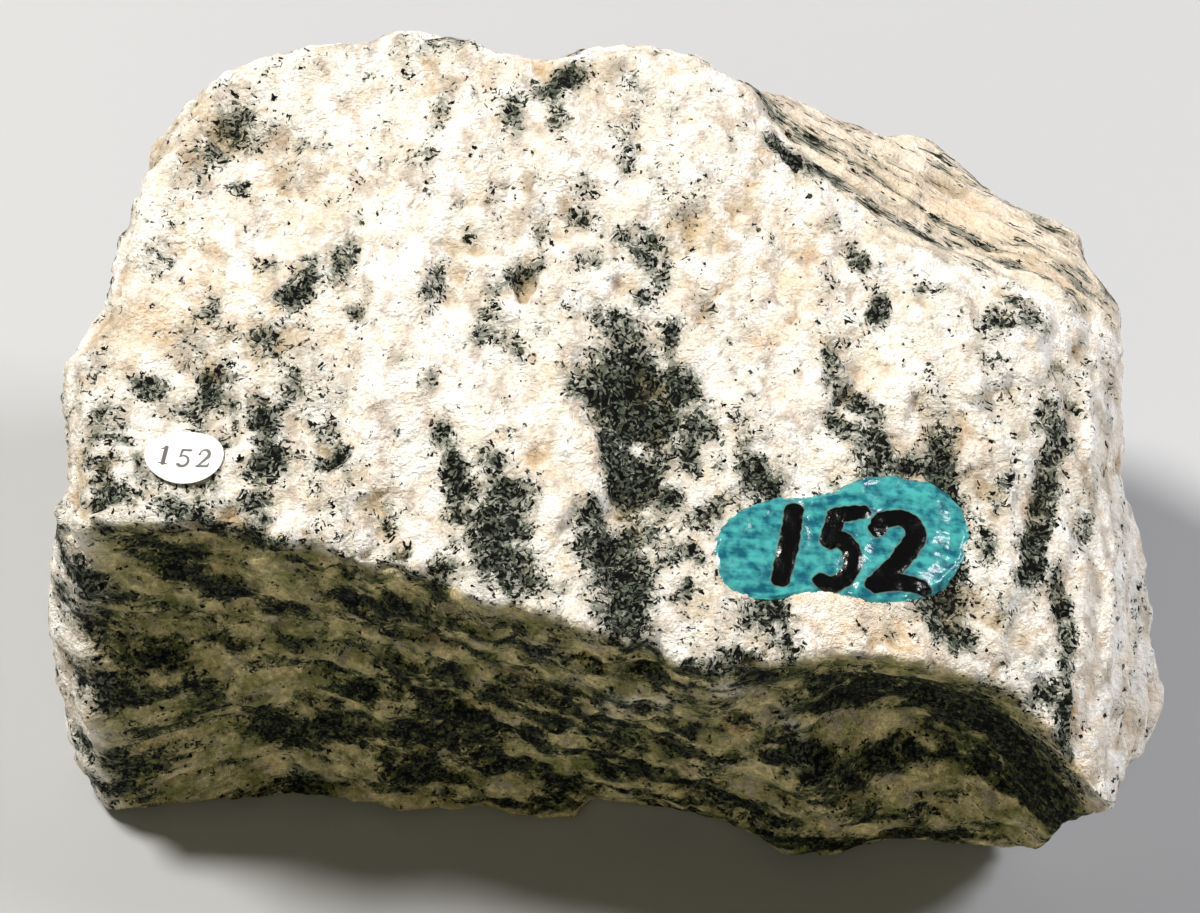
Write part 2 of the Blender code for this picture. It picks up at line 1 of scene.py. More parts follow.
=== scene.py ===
# Diorite hand specimen: a broken lump of streaky rock with a paper label and a painted number.
# The stone's surface is the zero level of a solid field made of its broken faces, its outline and a
# relief along the grain. The label and the paint are sheets laid on that surface. Lengths are in
# millimetres until a mesh is made; Blender's unit is the metre.

import math

import bpy
import numpy as np
from mathutils import Matrix, Vector


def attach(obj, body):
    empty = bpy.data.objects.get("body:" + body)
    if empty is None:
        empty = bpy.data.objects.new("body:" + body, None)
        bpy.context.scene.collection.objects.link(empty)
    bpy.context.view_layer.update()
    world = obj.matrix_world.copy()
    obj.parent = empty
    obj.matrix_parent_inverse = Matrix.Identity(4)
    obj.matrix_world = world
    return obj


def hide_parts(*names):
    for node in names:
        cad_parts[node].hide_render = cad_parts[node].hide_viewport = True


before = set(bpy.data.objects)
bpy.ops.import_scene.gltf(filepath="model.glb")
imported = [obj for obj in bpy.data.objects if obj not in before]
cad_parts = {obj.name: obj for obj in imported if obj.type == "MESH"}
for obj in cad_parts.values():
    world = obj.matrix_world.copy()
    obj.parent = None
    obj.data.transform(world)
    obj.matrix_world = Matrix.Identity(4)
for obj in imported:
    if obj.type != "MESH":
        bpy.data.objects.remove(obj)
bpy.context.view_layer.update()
mm = 0.001

# Places on the stone are read off a 1200 x 913 grid that looks down on it at 45 degrees.
sight = {
    "unit": 0.1086,
    "middle": (600.0, 456.5),
    "elevation": math.radians(45.0),
    "distance": 480.0,
    "point": (-0.1, 2.2, 32.0),
    "centring": (-0.02, -2.14, 0.0),
}
sightSin, sightCos = math.sin(sight["elevation"]), math.cos(sight["elevation"])


def across(column):
    return (np.asarray(column, float) - sight["middle"][0]) * sight["unit"]


def upward(row):
    return (sight["middle"][1] - np.asarray(row, float)) * sight["unit"]


# Average of the values under a bell curve that is `steps` of them wide.
def blurred(values, steps, ring=False):
    reach = int(math.ceil(3 * steps))
    weights = np.exp(-0.5 * (np.arange(-reach, reach + 1) / steps) ** 2)
    padded = np.pad(values, reach, mode="wrap" if ring else "edge")
    return np.convolve(padded, weights / weights.sum(), mode="valid")


# A drawn line as a function: straight between its points, then rounded.
def drawnLine(points, rounding, column=1):
    table = np.array(points, float)
    at = np.arange(0.0, 1202.0, 2.0)
    value = blurred(np.interp(at, table[:, 0], table[:, column]), rounding / 2.0)
    return lambda where: np.interp(where, at, value)


# A whole number of 32 bits that looks random, for each lattice point.
def scrambled(at, seed):
    mix = at[:, 0] * 374761393 + at[:, 1] * 668265263 + at[:, 2] * 1440662683
    mix = (mix + seed * 974634777) & 0xFFFFFFFF
    mix = ((mix ^ (mix >> 13)) * 1274126177) & 0xFFFFFFFF
    mix = ((mix ^ (mix >> 16)) * 2246822519) & 0xFFFFFFFF
    return mix ^ (mix >> 15)


# Its three tens of bits as a vector with parts from 0 to 1.
def spreadOut(mix):
    return np.stack([mix & 1023, (mix >> 10) & 1023, (mix >> 20) & 1023], 1) / 1023


# Smooth noise of about -1 to 1: a random slope at each lattice point, dotted with the way to the
# point, blended between the eight corners by 6t^5 - 15t^4 + 10t^3.
def latticeNoise(p, seed):
    cell = np.floor(p).astype(np.int64)
    frac = p - cell
    fade = frac**3 * (frac * (frac * 6 - 15) + 10)
    total = np.zeros(len(p))
    for step in np.ndindex(2, 2, 2):
        slope = 2 * spreadOut(scrambled(cell + step, seed)) - 1
        blend = np.prod(np.where(step, fade, 1 - fade), axis=1)
        total += blend * (slope * (frac - step)).sum(1)
    return total * 1.5


# Broken-crystal relief of about -1 to 1. Each lattice cell holds a point with a level and a slope,
# and a place takes level + slope . (way from the point) of its 27 nearest cells, weighted by
# exp(-sharpness * distance^2).
def facetNoise(p, seed, sharpness):
    cell = np.floor(p).astype(np.int64)
    total, weights = np.zeros(len(p)), np.full(len(p), 1e-30)
    for step in np.ndindex(3, 3, 3):
        at = cell + np.array(step) - 1
        away = p - at - spreadOut(scrambled(at, seed))
        tilt = 2 * spreadOut(scrambled(at, seed + 500)) - 1
        level = 2 * spreadOut(scrambled(at, seed + 900))[:, 0] - 1
        weight = np.exp(-sharpness * (away * away).sum(1))
        total += weight * (0.6 * level + (tilt * away).sum(1))
        weights += weight
    return total / weights


# Larger of two values, plus (w - |a-b|)^2 / 4w where they are closer than w.
def roundedMax(a, b, width):
    near = np.maximum(width - np.abs(a - b), 0) / width
    return np.maximum(a, b) + near * near * width * 0.25


# Eased step from 0 at `low` to 1 at `high`: 3t^2 - 2t^3.
def eased(value, low, high):
    t = np.clip((value - low) / (high - low), 0, 1)
    return t * t * (3 - 2 * t)


stoneShape = {
    "faceSlope": 0.2493,
    "faceHeight": 51.75,
    "faceFall": 0.105,
    "faceFallWidth": 14.0,
    "bodyPoint": np.array([0.0, 2.0, 26.0]),
    "boxMiddle": np.array([0.0, 2.5, 30.5]),
    "boxHalf": np.array([60.0, 44.0, 31.0]),
    "boxCells": (178, 126, 90),
    "rayPoint": np.array([17.0, 1.0, 26.0]),
    "outlineCentre": (595.0, 462.0),
    # clockwise from the left
    "outline": [
        (65, 370), (105, 310), (122, 234), (130, 230), (150, 140), (162, 127), (195, 88), (260, 60),
        (314, 46), (370, 45), (400, 36), (430, 40), (474, 41), (490, 52), (530, 56), (566, 56),
        (607, 49), (640, 47), (660, 50), (700, 62), (728, 78), (767, 91), (808, 102), (849, 117),
        (880, 136), (930, 136), (945, 146), (976, 182), (1010, 208), (1080, 232), (1085, 262),
        (1107, 287), (1120, 310), (1123, 340), (1123, 396), (1124, 450), (1128, 505), (1144, 564),
        (1152, 627), (1164, 698), (1150, 730), (1137, 756), (1110, 795), (1100, 813), (1070, 817),
        (1045, 845), (990, 846), (962, 842), (889, 838), (838, 853), (782, 855), (760, 838),
        (727, 820), (683, 809), (650, 803), (582, 797), (577, 820), (545, 823), (489, 815),
        (444, 816), (395, 816), (351, 802), (297, 794), (219, 799), (109, 811), (98, 800),
        (77, 756), (61, 693), (52, 630), (51, 568), (64, 507), (75, 480), (69, 450), (63, 393),
    ],
    # edge between the big pale face and the front face: across, down
    "frontEdge": [
        (0, 508), (70, 514), (110, 520), (140, 517), (200, 521), (250, 523), (270, 537), (330, 546),
        (370, 560), (400, 566), (440, 577), (470, 592), (490, 603), (510, 597), (530, 608),
        (560, 615), (590, 628), (620, 640), (650, 640), (680, 664), (720, 670), (760, 660),
        (790, 662), (830, 655), (880, 655), (930, 665), (965, 676), (1000, 688), (1030, 712),
        (1050, 735), (1065, 755), (1085, 778), (1110, 812), (1200, 930),
    ],
    # foot of the front face: across, down, height over the table
    "frontFoot": [
        (0, 815, 1.6), (109, 815, 1.6), (300, 801, 1.7), (400, 820, 1.6), (577, 824, 2.8),
        (600, 800, 4.5), (690, 808, 6.0), (760, 838, 6.5), (800, 856, 6.0), (889, 842, 7.5),
        (990, 846, 8.5), (1045, 845, 10.0), (1110, 840, 13.0), (1200, 840, 18.0),
    ],
    # edge of the bevel at the back right: across, down
    "bevelEdge": [
        (0, -900), (640, -120), (700, 30), (742, 100), (790, 160), (840, 205), (880, 240),
        (925, 265), (1000, 292), (1060, 311), (1110, 340), (1200, 380),
    ],
    # where the right end turns away, and the edge of the narrow left end: down, across
    "rightTurn": [
        (0, 1040), (250, 1060), (310, 1076), (400, 1068), (500, 1064), (600, 1062), (700, 1078),
        (800, 1100), (913, 1110),
    ],
    "leftEdge": [
        (0, 170), (100, 205), (140, 165), (230, 138), (300, 120), (370, 82), (450, 84), (480, 92),
        (520, 92), (570, 84), (630, 84), (700, 92), (760, 98), (811, 110), (913, 140),
    ],
    "bevelSteepness": 1.8,
    "rightSteepness": 1.5,
    "leftSteepness": 2.2,
    "frontSteepness": (0.9, 1.6),
    # how far the edges between the broken faces are rounded
    "bevelRounding": 1.8,
    "rightRounding": 5.0,
    "leftRounding": 2.0,
    "frontRounding": 0.9,
    "rimRounding": 1.2,
    "backRounding": 3.0,
    "footRounding": 0.8,
    # below this height the front face keeps to its own slope; its edge softens over the next length
    "leastFrontHeight": 14.0,
    "edgeSoftening": 9.0,
    # the bevel is calmer: how much, and over what way past its edge and past its plane
    "bevelCalm": 0.8,
    "bevelCalmStart": 2.5,
    "bevelCalmReach": 8.0,
    # two places along the bevel's edge, which its streaks follow
    "creaseEnds": ((790, 160), (1060, 311)),
    # it narrows away from its rim, more towards the table than towards the viewer
    "rimNarrowing": 0.33,
    "rimRound": 9.0,
    "rimFrontShare": 0.6,
    "rimInset": 2.0,
    # the big face overhangs the front one by a lip: across, depth
    "frontLip": [
        (0, 0.3), (250, 0.6), (430, 0.9), (500, 1.3), (560, 0.6), (650, 0.8), (720, 1.2),
        (790, 1.6), (870, 3.0), (960, 3.4), (1030, 2.8), (1080, 0.8), (1200, 0.3),
    ],
    "lipHeight": 3.4,
    "clotDepth": 0.28,
    # across, down, half width, half height, turn in degrees, depth
    "frontDents": [
        (925, 725, 115, 48, -16, 4.6), (665, 800, 90, 40, 0, 3.0), (350, 640, 120, 35, -20, 1.6),
        (520, 720, 90, 30, -20, 1.5), (150, 690, 60, 60, 0, -1.5), (800, 790, 60, 45, 0, -2.0),
        (250, 760, 90, 30, 0, 1.2),
    ],
    "faceSwells": [
        (1130, 800, 150, 150, 0, -9.0), (100, 300, 120, 200, 0, -1.2), (560, 330, 260, 260, 0, 1.6),
    ],
    "faceRibs": [
        (345, 465, 22, 120, -20, 0.9), (395, 500, 16, 90, -25, -0.7), (480, 450, 60, 110, -8, 0.9),
        (450, 330, 20, 120, 0, -0.7), (240, 200, 40, 110, -6, -0.8), (300, 330, 45, 90, -10, 0.6),
        (150, 420, 50, 70, 0, -0.7), (560, 170, 40, 110, 0, 0.7), (640, 400, 40, 200, 4, -0.9),
        (770, 300, 70, 150, 12, 0.9), (870, 380, 24, 130, 10, -0.6), (930, 330, 50, 110, 6, 0.7),
        (700, 620, 70, 30, -10, 0.7), (1000, 560, 24, 120, 0, 0.6), (1040, 500, 14, 120, -10, -0.6),
    ],
    # rough hidden faces: direction, distance from the body point
    "hiddenFaces": [
        ((0.05, 0.98, -0.08), 40.0), ((0.62, 0.74, -0.10), 53.0), ((-0.70, 0.62, -0.15), 51.5),
        ((0.10, 0.72, -0.62), 40.0), ((-0.80, 0.35, -0.50), 53.0), ((0.80, 0.05, -0.60), 50.0),
    ],
    "footMiddle": (-1.0, 6.0),
    "footHalf": (35.0, 18.0),
    "footBulge": 2.2,
    "footLump": 0.7,
    "footLumpSize": 16.0,
    # lower places along the front left: x, y, half width, depth
    "lowPlaces": [(-55.0, -20.0, 9.0, 2.0), (-30.0, -21.0, 17.0, 0.8)],
}


# Across, up and depth of points as the viewer sees them: the view's own axes, with across and up
# scaled by D / (D - depth).
def alongSight(p):
    x, y, z = (p - np.array(sight["point"])).T
    depth = z * sightSin - y * sightCos
    scale = sight["distance"] / (sight["distance"] - depth)
    return x * scale, (y * sightSin + z * sightCos) * scale, depth


# The same points in the frame of the grain: turned about X so that the big face is level.
def alongGrain(p):
    turn = math.atan(stoneShape["faceSlope"])
    c, s = math.cos(turn), math.sin(turn)
    return np.stack([p[:, 0], p[:, 1] * c + p[:, 2] * s, p[:, 2] * c - p[:, 1] * s], 1)


# Sum of soft oval hills: height * exp(-(a/A)^2 - (b/B)^2) in each hill's own turned axes.
def hills(u, v, rows):
    total = np.zeros(np.shape(u))
    for column, row, halfWide, halfHigh, turn, height in rows:
        c, s = math.cos(math.radians(turn)), math.sin(math.radians(turn))
        du, dv = u - across(column), v - upward(row)
        a = (du * c + dv * s) / (halfWide * sight["unit"])
        b = (dv * c - du * s) / (halfHigh * sight["unit"])
        total = total + height * np.exp(-a * a - b * b)
    return total


frontEdge = drawnLine(stoneShape["frontEdge"], 5)
frontEdgeSoft = drawnLine(stoneShape["frontEdge"], 40)
frontLip = drawnLine(stoneShape["frontLip"], 14)
frontFoot = drawnLine(stoneShape["frontFoot"], 20)
frontFootHeight = drawnLine(stoneShape["frontFoot"], 40, 2)
bevelEdge = drawnLine(stoneShape["bevelEdge"], 14)
rightTurn = drawnLine(stoneShape["rightTurn"], 20)
leftEdge = drawnLine(stoneShape["leftEdge"], 14)


# How much the big face leans from the line of sight: the cosine between them.
faceSlant = math.cos(math.pi / 2 - sight["elevation"] - math.atan(stoneShape["faceSlope"]))


# Depth of the big face: the plane z = height + slope * y met by the line of sight, bent down to the
# right by fall * width * ln(1 + e^(u / width)), plus its swells.
def faceDepth(u, v):
    shape = stoneShape
    slope, width = shape["faceSlope"], shape["faceFallWidth"]
    bend = np.log1p(np.exp(np.clip(u / width, -30, 30)))
    level = shape["faceHeight"] + slope * sight["point"][1] - sight["point"][2]
    level = level - shape["faceFall"] * width * bend
    plane = (level + v * (slope * sightSin - sightCos)) / (sightSin + slope * sightCos)
    return plane + hills(u, v, shape["faceSwells"])


# Depth of the front face: a straight line in each column from its upper edge to its foot, less the
# dents. Its slope is (edge depth - foot depth) / (edge height - foot height).
def frontDepth(u, v, dents=True):
    column = sight["middle"][0] + u / sight["unit"]
    fine, soft = upward(frontEdge(column)), upward(frontEdgeSoft(column))
    foot = upward(frontFoot(column))
    footDepth = (frontFootHeight(column) - sight["point"][2] - foot * sightCos) / sightSin
    drop = np.maximum(soft - foot, stoneShape["leastFrontHeight"])
    steep = np.clip((faceDepth(u, soft) - footDepth) / drop, *stoneShape["frontSteepness"])
    edge = fine + (soft - fine) * eased(fine - v, 0, stoneShape["edgeSoftening"])
    depth = faceDepth(u, edge) - steep * (edge - v)
    if dents:
        lip = frontLip(column) * eased(fine - v, 0, stoneShape["lipHeight"])
        depth = depth - lip - hills(u, v, stoneShape["frontDents"])
    return depth, 1 / np.sqrt(1 + steep * steep)


# Bevel: face depth at its edge, less steepness times the way beyond it.
def bevelDepth(u, v):
    edge = upward(bevelEdge(sight["middle"][0] + u / sight["unit"]))
    return faceDepth(u, edge) - stoneShape["bevelSteepness"] * (v - edge)


# Right end: face depth where it turns, less steepness times the way beyond.
def rightDepth(u, v):
    edge = across(rightTurn(sight["middle"][1] - v / sight["unit"]))
    return faceDepth(edge, v) - stoneShape["rightSteepness"] * (u - edge)


# Left end: the lower of face and front at its edge, less steepness times the way beyond.
def leftDepth(u, v):
    edge = across(leftEdge(sight["middle"][1] - v / sight["unit"]))
    start = np.minimum(faceDepth(edge, v), frontDepth(edge, v, False)[0])
    return start - stoneShape["leftSteepness"] * (edge - u)


# Signed way out of the seen faces: the rounded maximum of (depth - face's depth) / its slant.
def seenFaces(u, v, depth):
    shape = stoneShape
    front, frontScale = frontDepth(u, v)
    field = (depth - faceDepth(u, v)) * faceSlant - hills(u, v, shape["faceRibs"])
    for surface, name in ((bevelDepth, "bevel"), (rightDepth, "right"), (leftDepth, "left")):
        outside = (depth - surface(u, v)) / math.hypot(1, shape[name + "Steepness"])
        field = roundedMax(field, outside, shape[name + "Rounding"])
    return roundedMax(field, (depth - front) * frontScale, shape["frontRounding"])


# Distance from a centre to a closed row of corners at each angle, along chords cut into steps.
def polarReach(corners, centre, angle, steps):
    share = np.linspace(0, 1, steps, endpoint=False)[:, None, None]
    chords = (corners * (1 - share) + np.roll(corners, -1, axis=0) * share).reshape(-1, 2)
    away = chords - centre
    turn = np.arctan2(away[:, 1], away[:, 0])
    order = np.argsort(turn)
    return np.interp(angle, turn[order], np.hypot(*away.T)[order], period=2 * math.pi)


# Largest values for which `inside` holds, by halving the stretch from low to high.
def halved(inside, low, high, steps):
    for _ in range(steps):
        middle = (low + high) / 2
        within = inside(middle)
        low, high = np.where(within, middle, low), np.where(within, high, middle)
    return low


# The outline as a distance from its centre for each angle, and the depth at which the seen faces
# reach it.
def outlineRim():
    angle = np.linspace(-math.pi, math.pi, 1441)[:-1]
    column, row = stoneShape["outlineCentre"]
    centre = (float(across(column)), float(upward(row)))
    corners = np.array(stoneShape["outline"], float)
    corners = np.stack([across(corners[:, 0]), upward(corners[:, 1])], 1)
    reach = polarReach(corners, centre, angle, 12)
    fine, soft = blurred(reach, 2, ring=True), blurred(reach, 20, ring=True)
    u = centre[0] + fine * np.cos(angle)
    v = centre[1] + fine * np.sin(angle)
    low, high = np.full(len(u), -80.0), np.full(len(u), 60.0)
    depth = halved(lambda middle: seenFaces(u, v, middle) < 0, low, high, 40)
    depth = blurred(depth, 8, ring=True) - stoneShape["rimInset"]
    return {"angle": angle, "centre": centre, "fine": fine, "soft": soft, "depth": depth}


rim = outlineRim()


# Signed way out of the outline, which narrows by narrowing * (sqrt(d^2 + r^2) - r) at a depth d
# from the rim, and 1 near the rim falling to 0 away from it.
def outsideOutline(u, v, depth):
    du, dv = u - rim["centre"][0], v - rim["centre"][1]
    turn = np.arctan2(dv, du)
    fine, soft, rimDepth = (
        np.interp(turn, rim["angle"], rim[name], period=2 * math.pi)
        for name in ("fine", "soft", "depth")
    )
    beyond = depth - rimDepth
    rounding = stoneShape["rimRound"]
    reach = soft + (fine - soft) * np.exp(-((beyond / rounding) ** 2))
    narrowing = stoneShape["rimNarrowing"] * (np.hypot(beyond, rounding) - rounding)
    reach = reach - narrowing * np.where(beyond < 0, 1.0, stoneShape["rimFrontShare"])
    return (np.hypot(du, dv) - reach) * 0.93, np.exp(-((beyond / 11.0) ** 2))


stoneRelief = {
    # height, lattice size across the grain, along it and through the layers, seed
    "broad": (1.5, (13.0, 34.0, 9.0), 1),
    "ribs": (0.8, (5.0, 16.0, 3.4), 2),
    "coarse": (0.45, (2.6, 7.0, 1.8), 3),
}
brokenRelief = {
    # the same, and how sharply one crystal ends at the next
    "ledges": (0.48, (8.0, 10.0, 3.6), 11, 30.0),
    "facets": (0.38, (3.4, 4.4, 2.2), 12, 34.0),
    "crystals": (0.28, (1.8, 2.1, 1.5), 13, 24.0),
}
# on the bevel, along its edge and square to it
bevelRelief = {
    "steps": (0.42, (11.0, 3.0, 3.0), 14, 30.0),
    "splinters": (0.20, (5.5, 1.3, 1.3), 15, 26.0),
}


# Height over the plain faces: a sum of lattice noises.
def relief(p, calm):
    grain = alongGrain(p)
    broad, ribs, coarse = (
        height * latticeNoise(grain / np.array(size), seed)
        for height, size, seed in stoneRelief.values()
    )
    return broad + (ribs + coarse) * (1 - 0.6 * calm)


# A sum of broken-crystal reliefs.
def brokenSum(p, rows):
    return sum(
        height * facetNoise(p / np.array(size), seed, sharpness)
        for height, size, seed, sharpness in rows.values()
    )


# Height over that: broken crystals, lower under label and paint, higher along the front edge, and
# splinters on the bevel.
def breakage(p):
    u, v, depth = alongSight(p)
    height = brokenSum(alongGrain(p), brokenRelief) * (1 - 0.55 * calmPlaces(u, v, depth))
    below = faceDepth(u, v) - frontDepth(u, v)[0]
    height = height * (1 - 0.3 * frontSide(p) + 1.3 * np.exp(-((below / 2.2) ** 2)))
    bevel = bevelSide(u, v, depth)
    return height * (1 - 0.5 * bevel) + bevel * brokenSum(p @ creaseAxes().T, bevelRelief)


# 1 on the bevel, 0 elsewhere: a ramp past its edge times exp(-(way from its plane / reach)^2).
def bevelSide(u, v, depth):
    edge = upward(bevelEdge(sight["middle"][0] + u / sight["unit"]))
    near = np.exp(-(((depth - bevelDepth(u, v)) / stoneShape["bevelCalmReach"]) ** 2))
    return np.clip((v - edge) / stoneShape["bevelCalmStart"], 0, 1) * near


# 1 where the surface is smoother: under the label and the paint, and on the bevel.
def calmPlaces(u, v, depth):
    sheets = hills(u, v, [(185, 460.5, 55, 42, 0, 1.0), (843, 541, 165, 85, 8, 1.0)])
    return np.clip(sheets + stoneShape["bevelCalm"] * bevelSide(u, v, depth), 0, 1)


# Point of space that is seen at (u, v) and lies at that depth.
def sightPoint(u, v, depth):
    scale = (sight["distance"] - depth) / sight["distance"]
    y, z = v * scale * sightSin - depth * sightCos, v * scale * sightCos + depth * sightSin
    return np.stack([u * scale, y, z], -1) + np.array(sight["point"])


# Axes of the bevel's streaks, as rows: along its edge, square to that and level, and the third.
def creaseAxes():
    ends = np.array(stoneShape["creaseEnds"], float)
    u, v = across(ends[:, 0]), upward(ends[:, 1])
    start, end = sightPoint(u, v, faceDepth(u, v))
    along = (end - start) / np.linalg.norm(end - start)
    level = np.cross((0, 0, 1), along)
    level /= np.linalg.norm(level)
    return np.stack([along, level, np.cross(along, level)])


# Signed way below the rough underside: bulge * (distance in foot ellipses - 1) plus lumps, less
# bells at the low places.
def underside(p):
    x, y, z = p.T
    (footX, footY), (halfX, halfY) = stoneShape["footMiddle"], stoneShape["footHalf"]
    away = ((x - footX) / halfX) ** 2 + ((y - footY) / halfY) ** 2
    size = stoneShape["footLumpSize"]
    flat = np.stack([x / size, y / size, np.full(len(x), 0.5)], 1)
    lumps = stoneShape["footLump"] * latticeNoise(flat, 77)
    low = np.zeros(len(x))
    for middleX, middleY, half, depth in stoneShape["lowPlaces"]:
        low += depth * np.exp(-((x - middleX) ** 2 + (y - middleY) ** 2) / half**2)
    return np.clip(stoneShape["footBulge"] * (np.sqrt(away) - 1.0) + lumps - low, -4, 9) - z


# Signed way out of the stone: seen faces, outline, hidden planes, underside and table, less relief.
def stoneField(p):
    shape = stoneShape
    u, v, depth = alongSight(p)
    bump = relief(p, calmPlaces(u, v, depth))
    outline, nearRim = outsideOutline(u, v, depth)
    outline = outline - bump * (1 - 0.8 * nearRim)
    field = roundedMax(seenFaces(u, v, depth) - bump, outline, shape["rimRounding"])
    for direction, distance in shape["hiddenFaces"]:
        normal = np.array(direction) / np.linalg.norm(direction)
        outside = (p - shape["bodyPoint"]) @ normal - distance - bump
        field = roundedMax(field, outside, shape["backRounding"])
    field = roundedMax(field, underside(p) - 0.6 * bump, shape["footRounding"])
    return np.maximum(field, -p[:, 2])


# Where rays leave the stone, between a low and a high distance from their start.
def whereItEnds(start, direction, low, high, steps=20):
    low, high = np.full(len(direction), low), np.full(len(direction), high)
    return halved(lambda way: stoneField(start + direction * way[:, None]) < 0, low, high, steps)


# Outward normals: how much the field grows over 0.2 mm along each axis.
def fieldNormals(p):
    here = stoneField(p)
    grown = np.stack([stoneField(p + 0.2 * axis) - here for axis in np.eye(3)], 1)
    return grown / np.linalg.norm(grown, axis=1)[:, None]


# The surface of a box as six grids of quads that share their edge points: (i, j) runs over each
# side, and equal corner counts are merged. Returns places from -1 to 1 and the quads.
def boxGrid(cells):
    spots, quads = [], []
    count = 0
    for axis in range(3):
        first, second = [other for other in range(3) if other != axis]
        for side in (0, 1):
            i, j = np.indices((cells[first] + 1, cells[second] + 1))
            spot = np.zeros(i.shape + (3,), np.int64)
            spot[..., first], spot[..., second], spot[..., axis] = i, j, side * cells[axis]
            number = count + np.arange(i.size).reshape(i.shape)
            near, far = number[:-1], number[1:]
            quad = np.stack([near[:, :-1], far[:, :-1], far[:, 1:], near[:, 1:]], -1)
            outward = (side == 1) == (axis != 1)
            quads.append(quad.reshape(-1, 4)[:, :: 1 if outward else -1])
            spots.append(spot.reshape(-1, 3))
            count += i.size
    spots, index = np.unique(np.concatenate(spots), axis=0, return_inverse=True)
    return spots / (np.array(cells) / 2.0) - 1.0, index.reshape(-1)[np.concatenate(quads)]


def meshObject(name, points, faces, smooth=True):
    mesh = bpy.data.meshes.new(name)
    mesh.from_pydata((np.asarray(points) * mm).tolist(), [], [list(face) for face in faces])
    mesh.polygons.foreach_set("use_smooth", np.full(len(mesh.polygons), smooth))
    mesh.update()
    made = bpy.data.objects.new(name, mesh)
    bpy.context.scene.collection.objects.link(made)
    return made


def paintAttribute(piece, name, values):
    attribute = piece.data.attributes.new(name, "FLOAT", "POINT")
    attribute.data.foreach_set("value", np.asarray(values, np.float32))


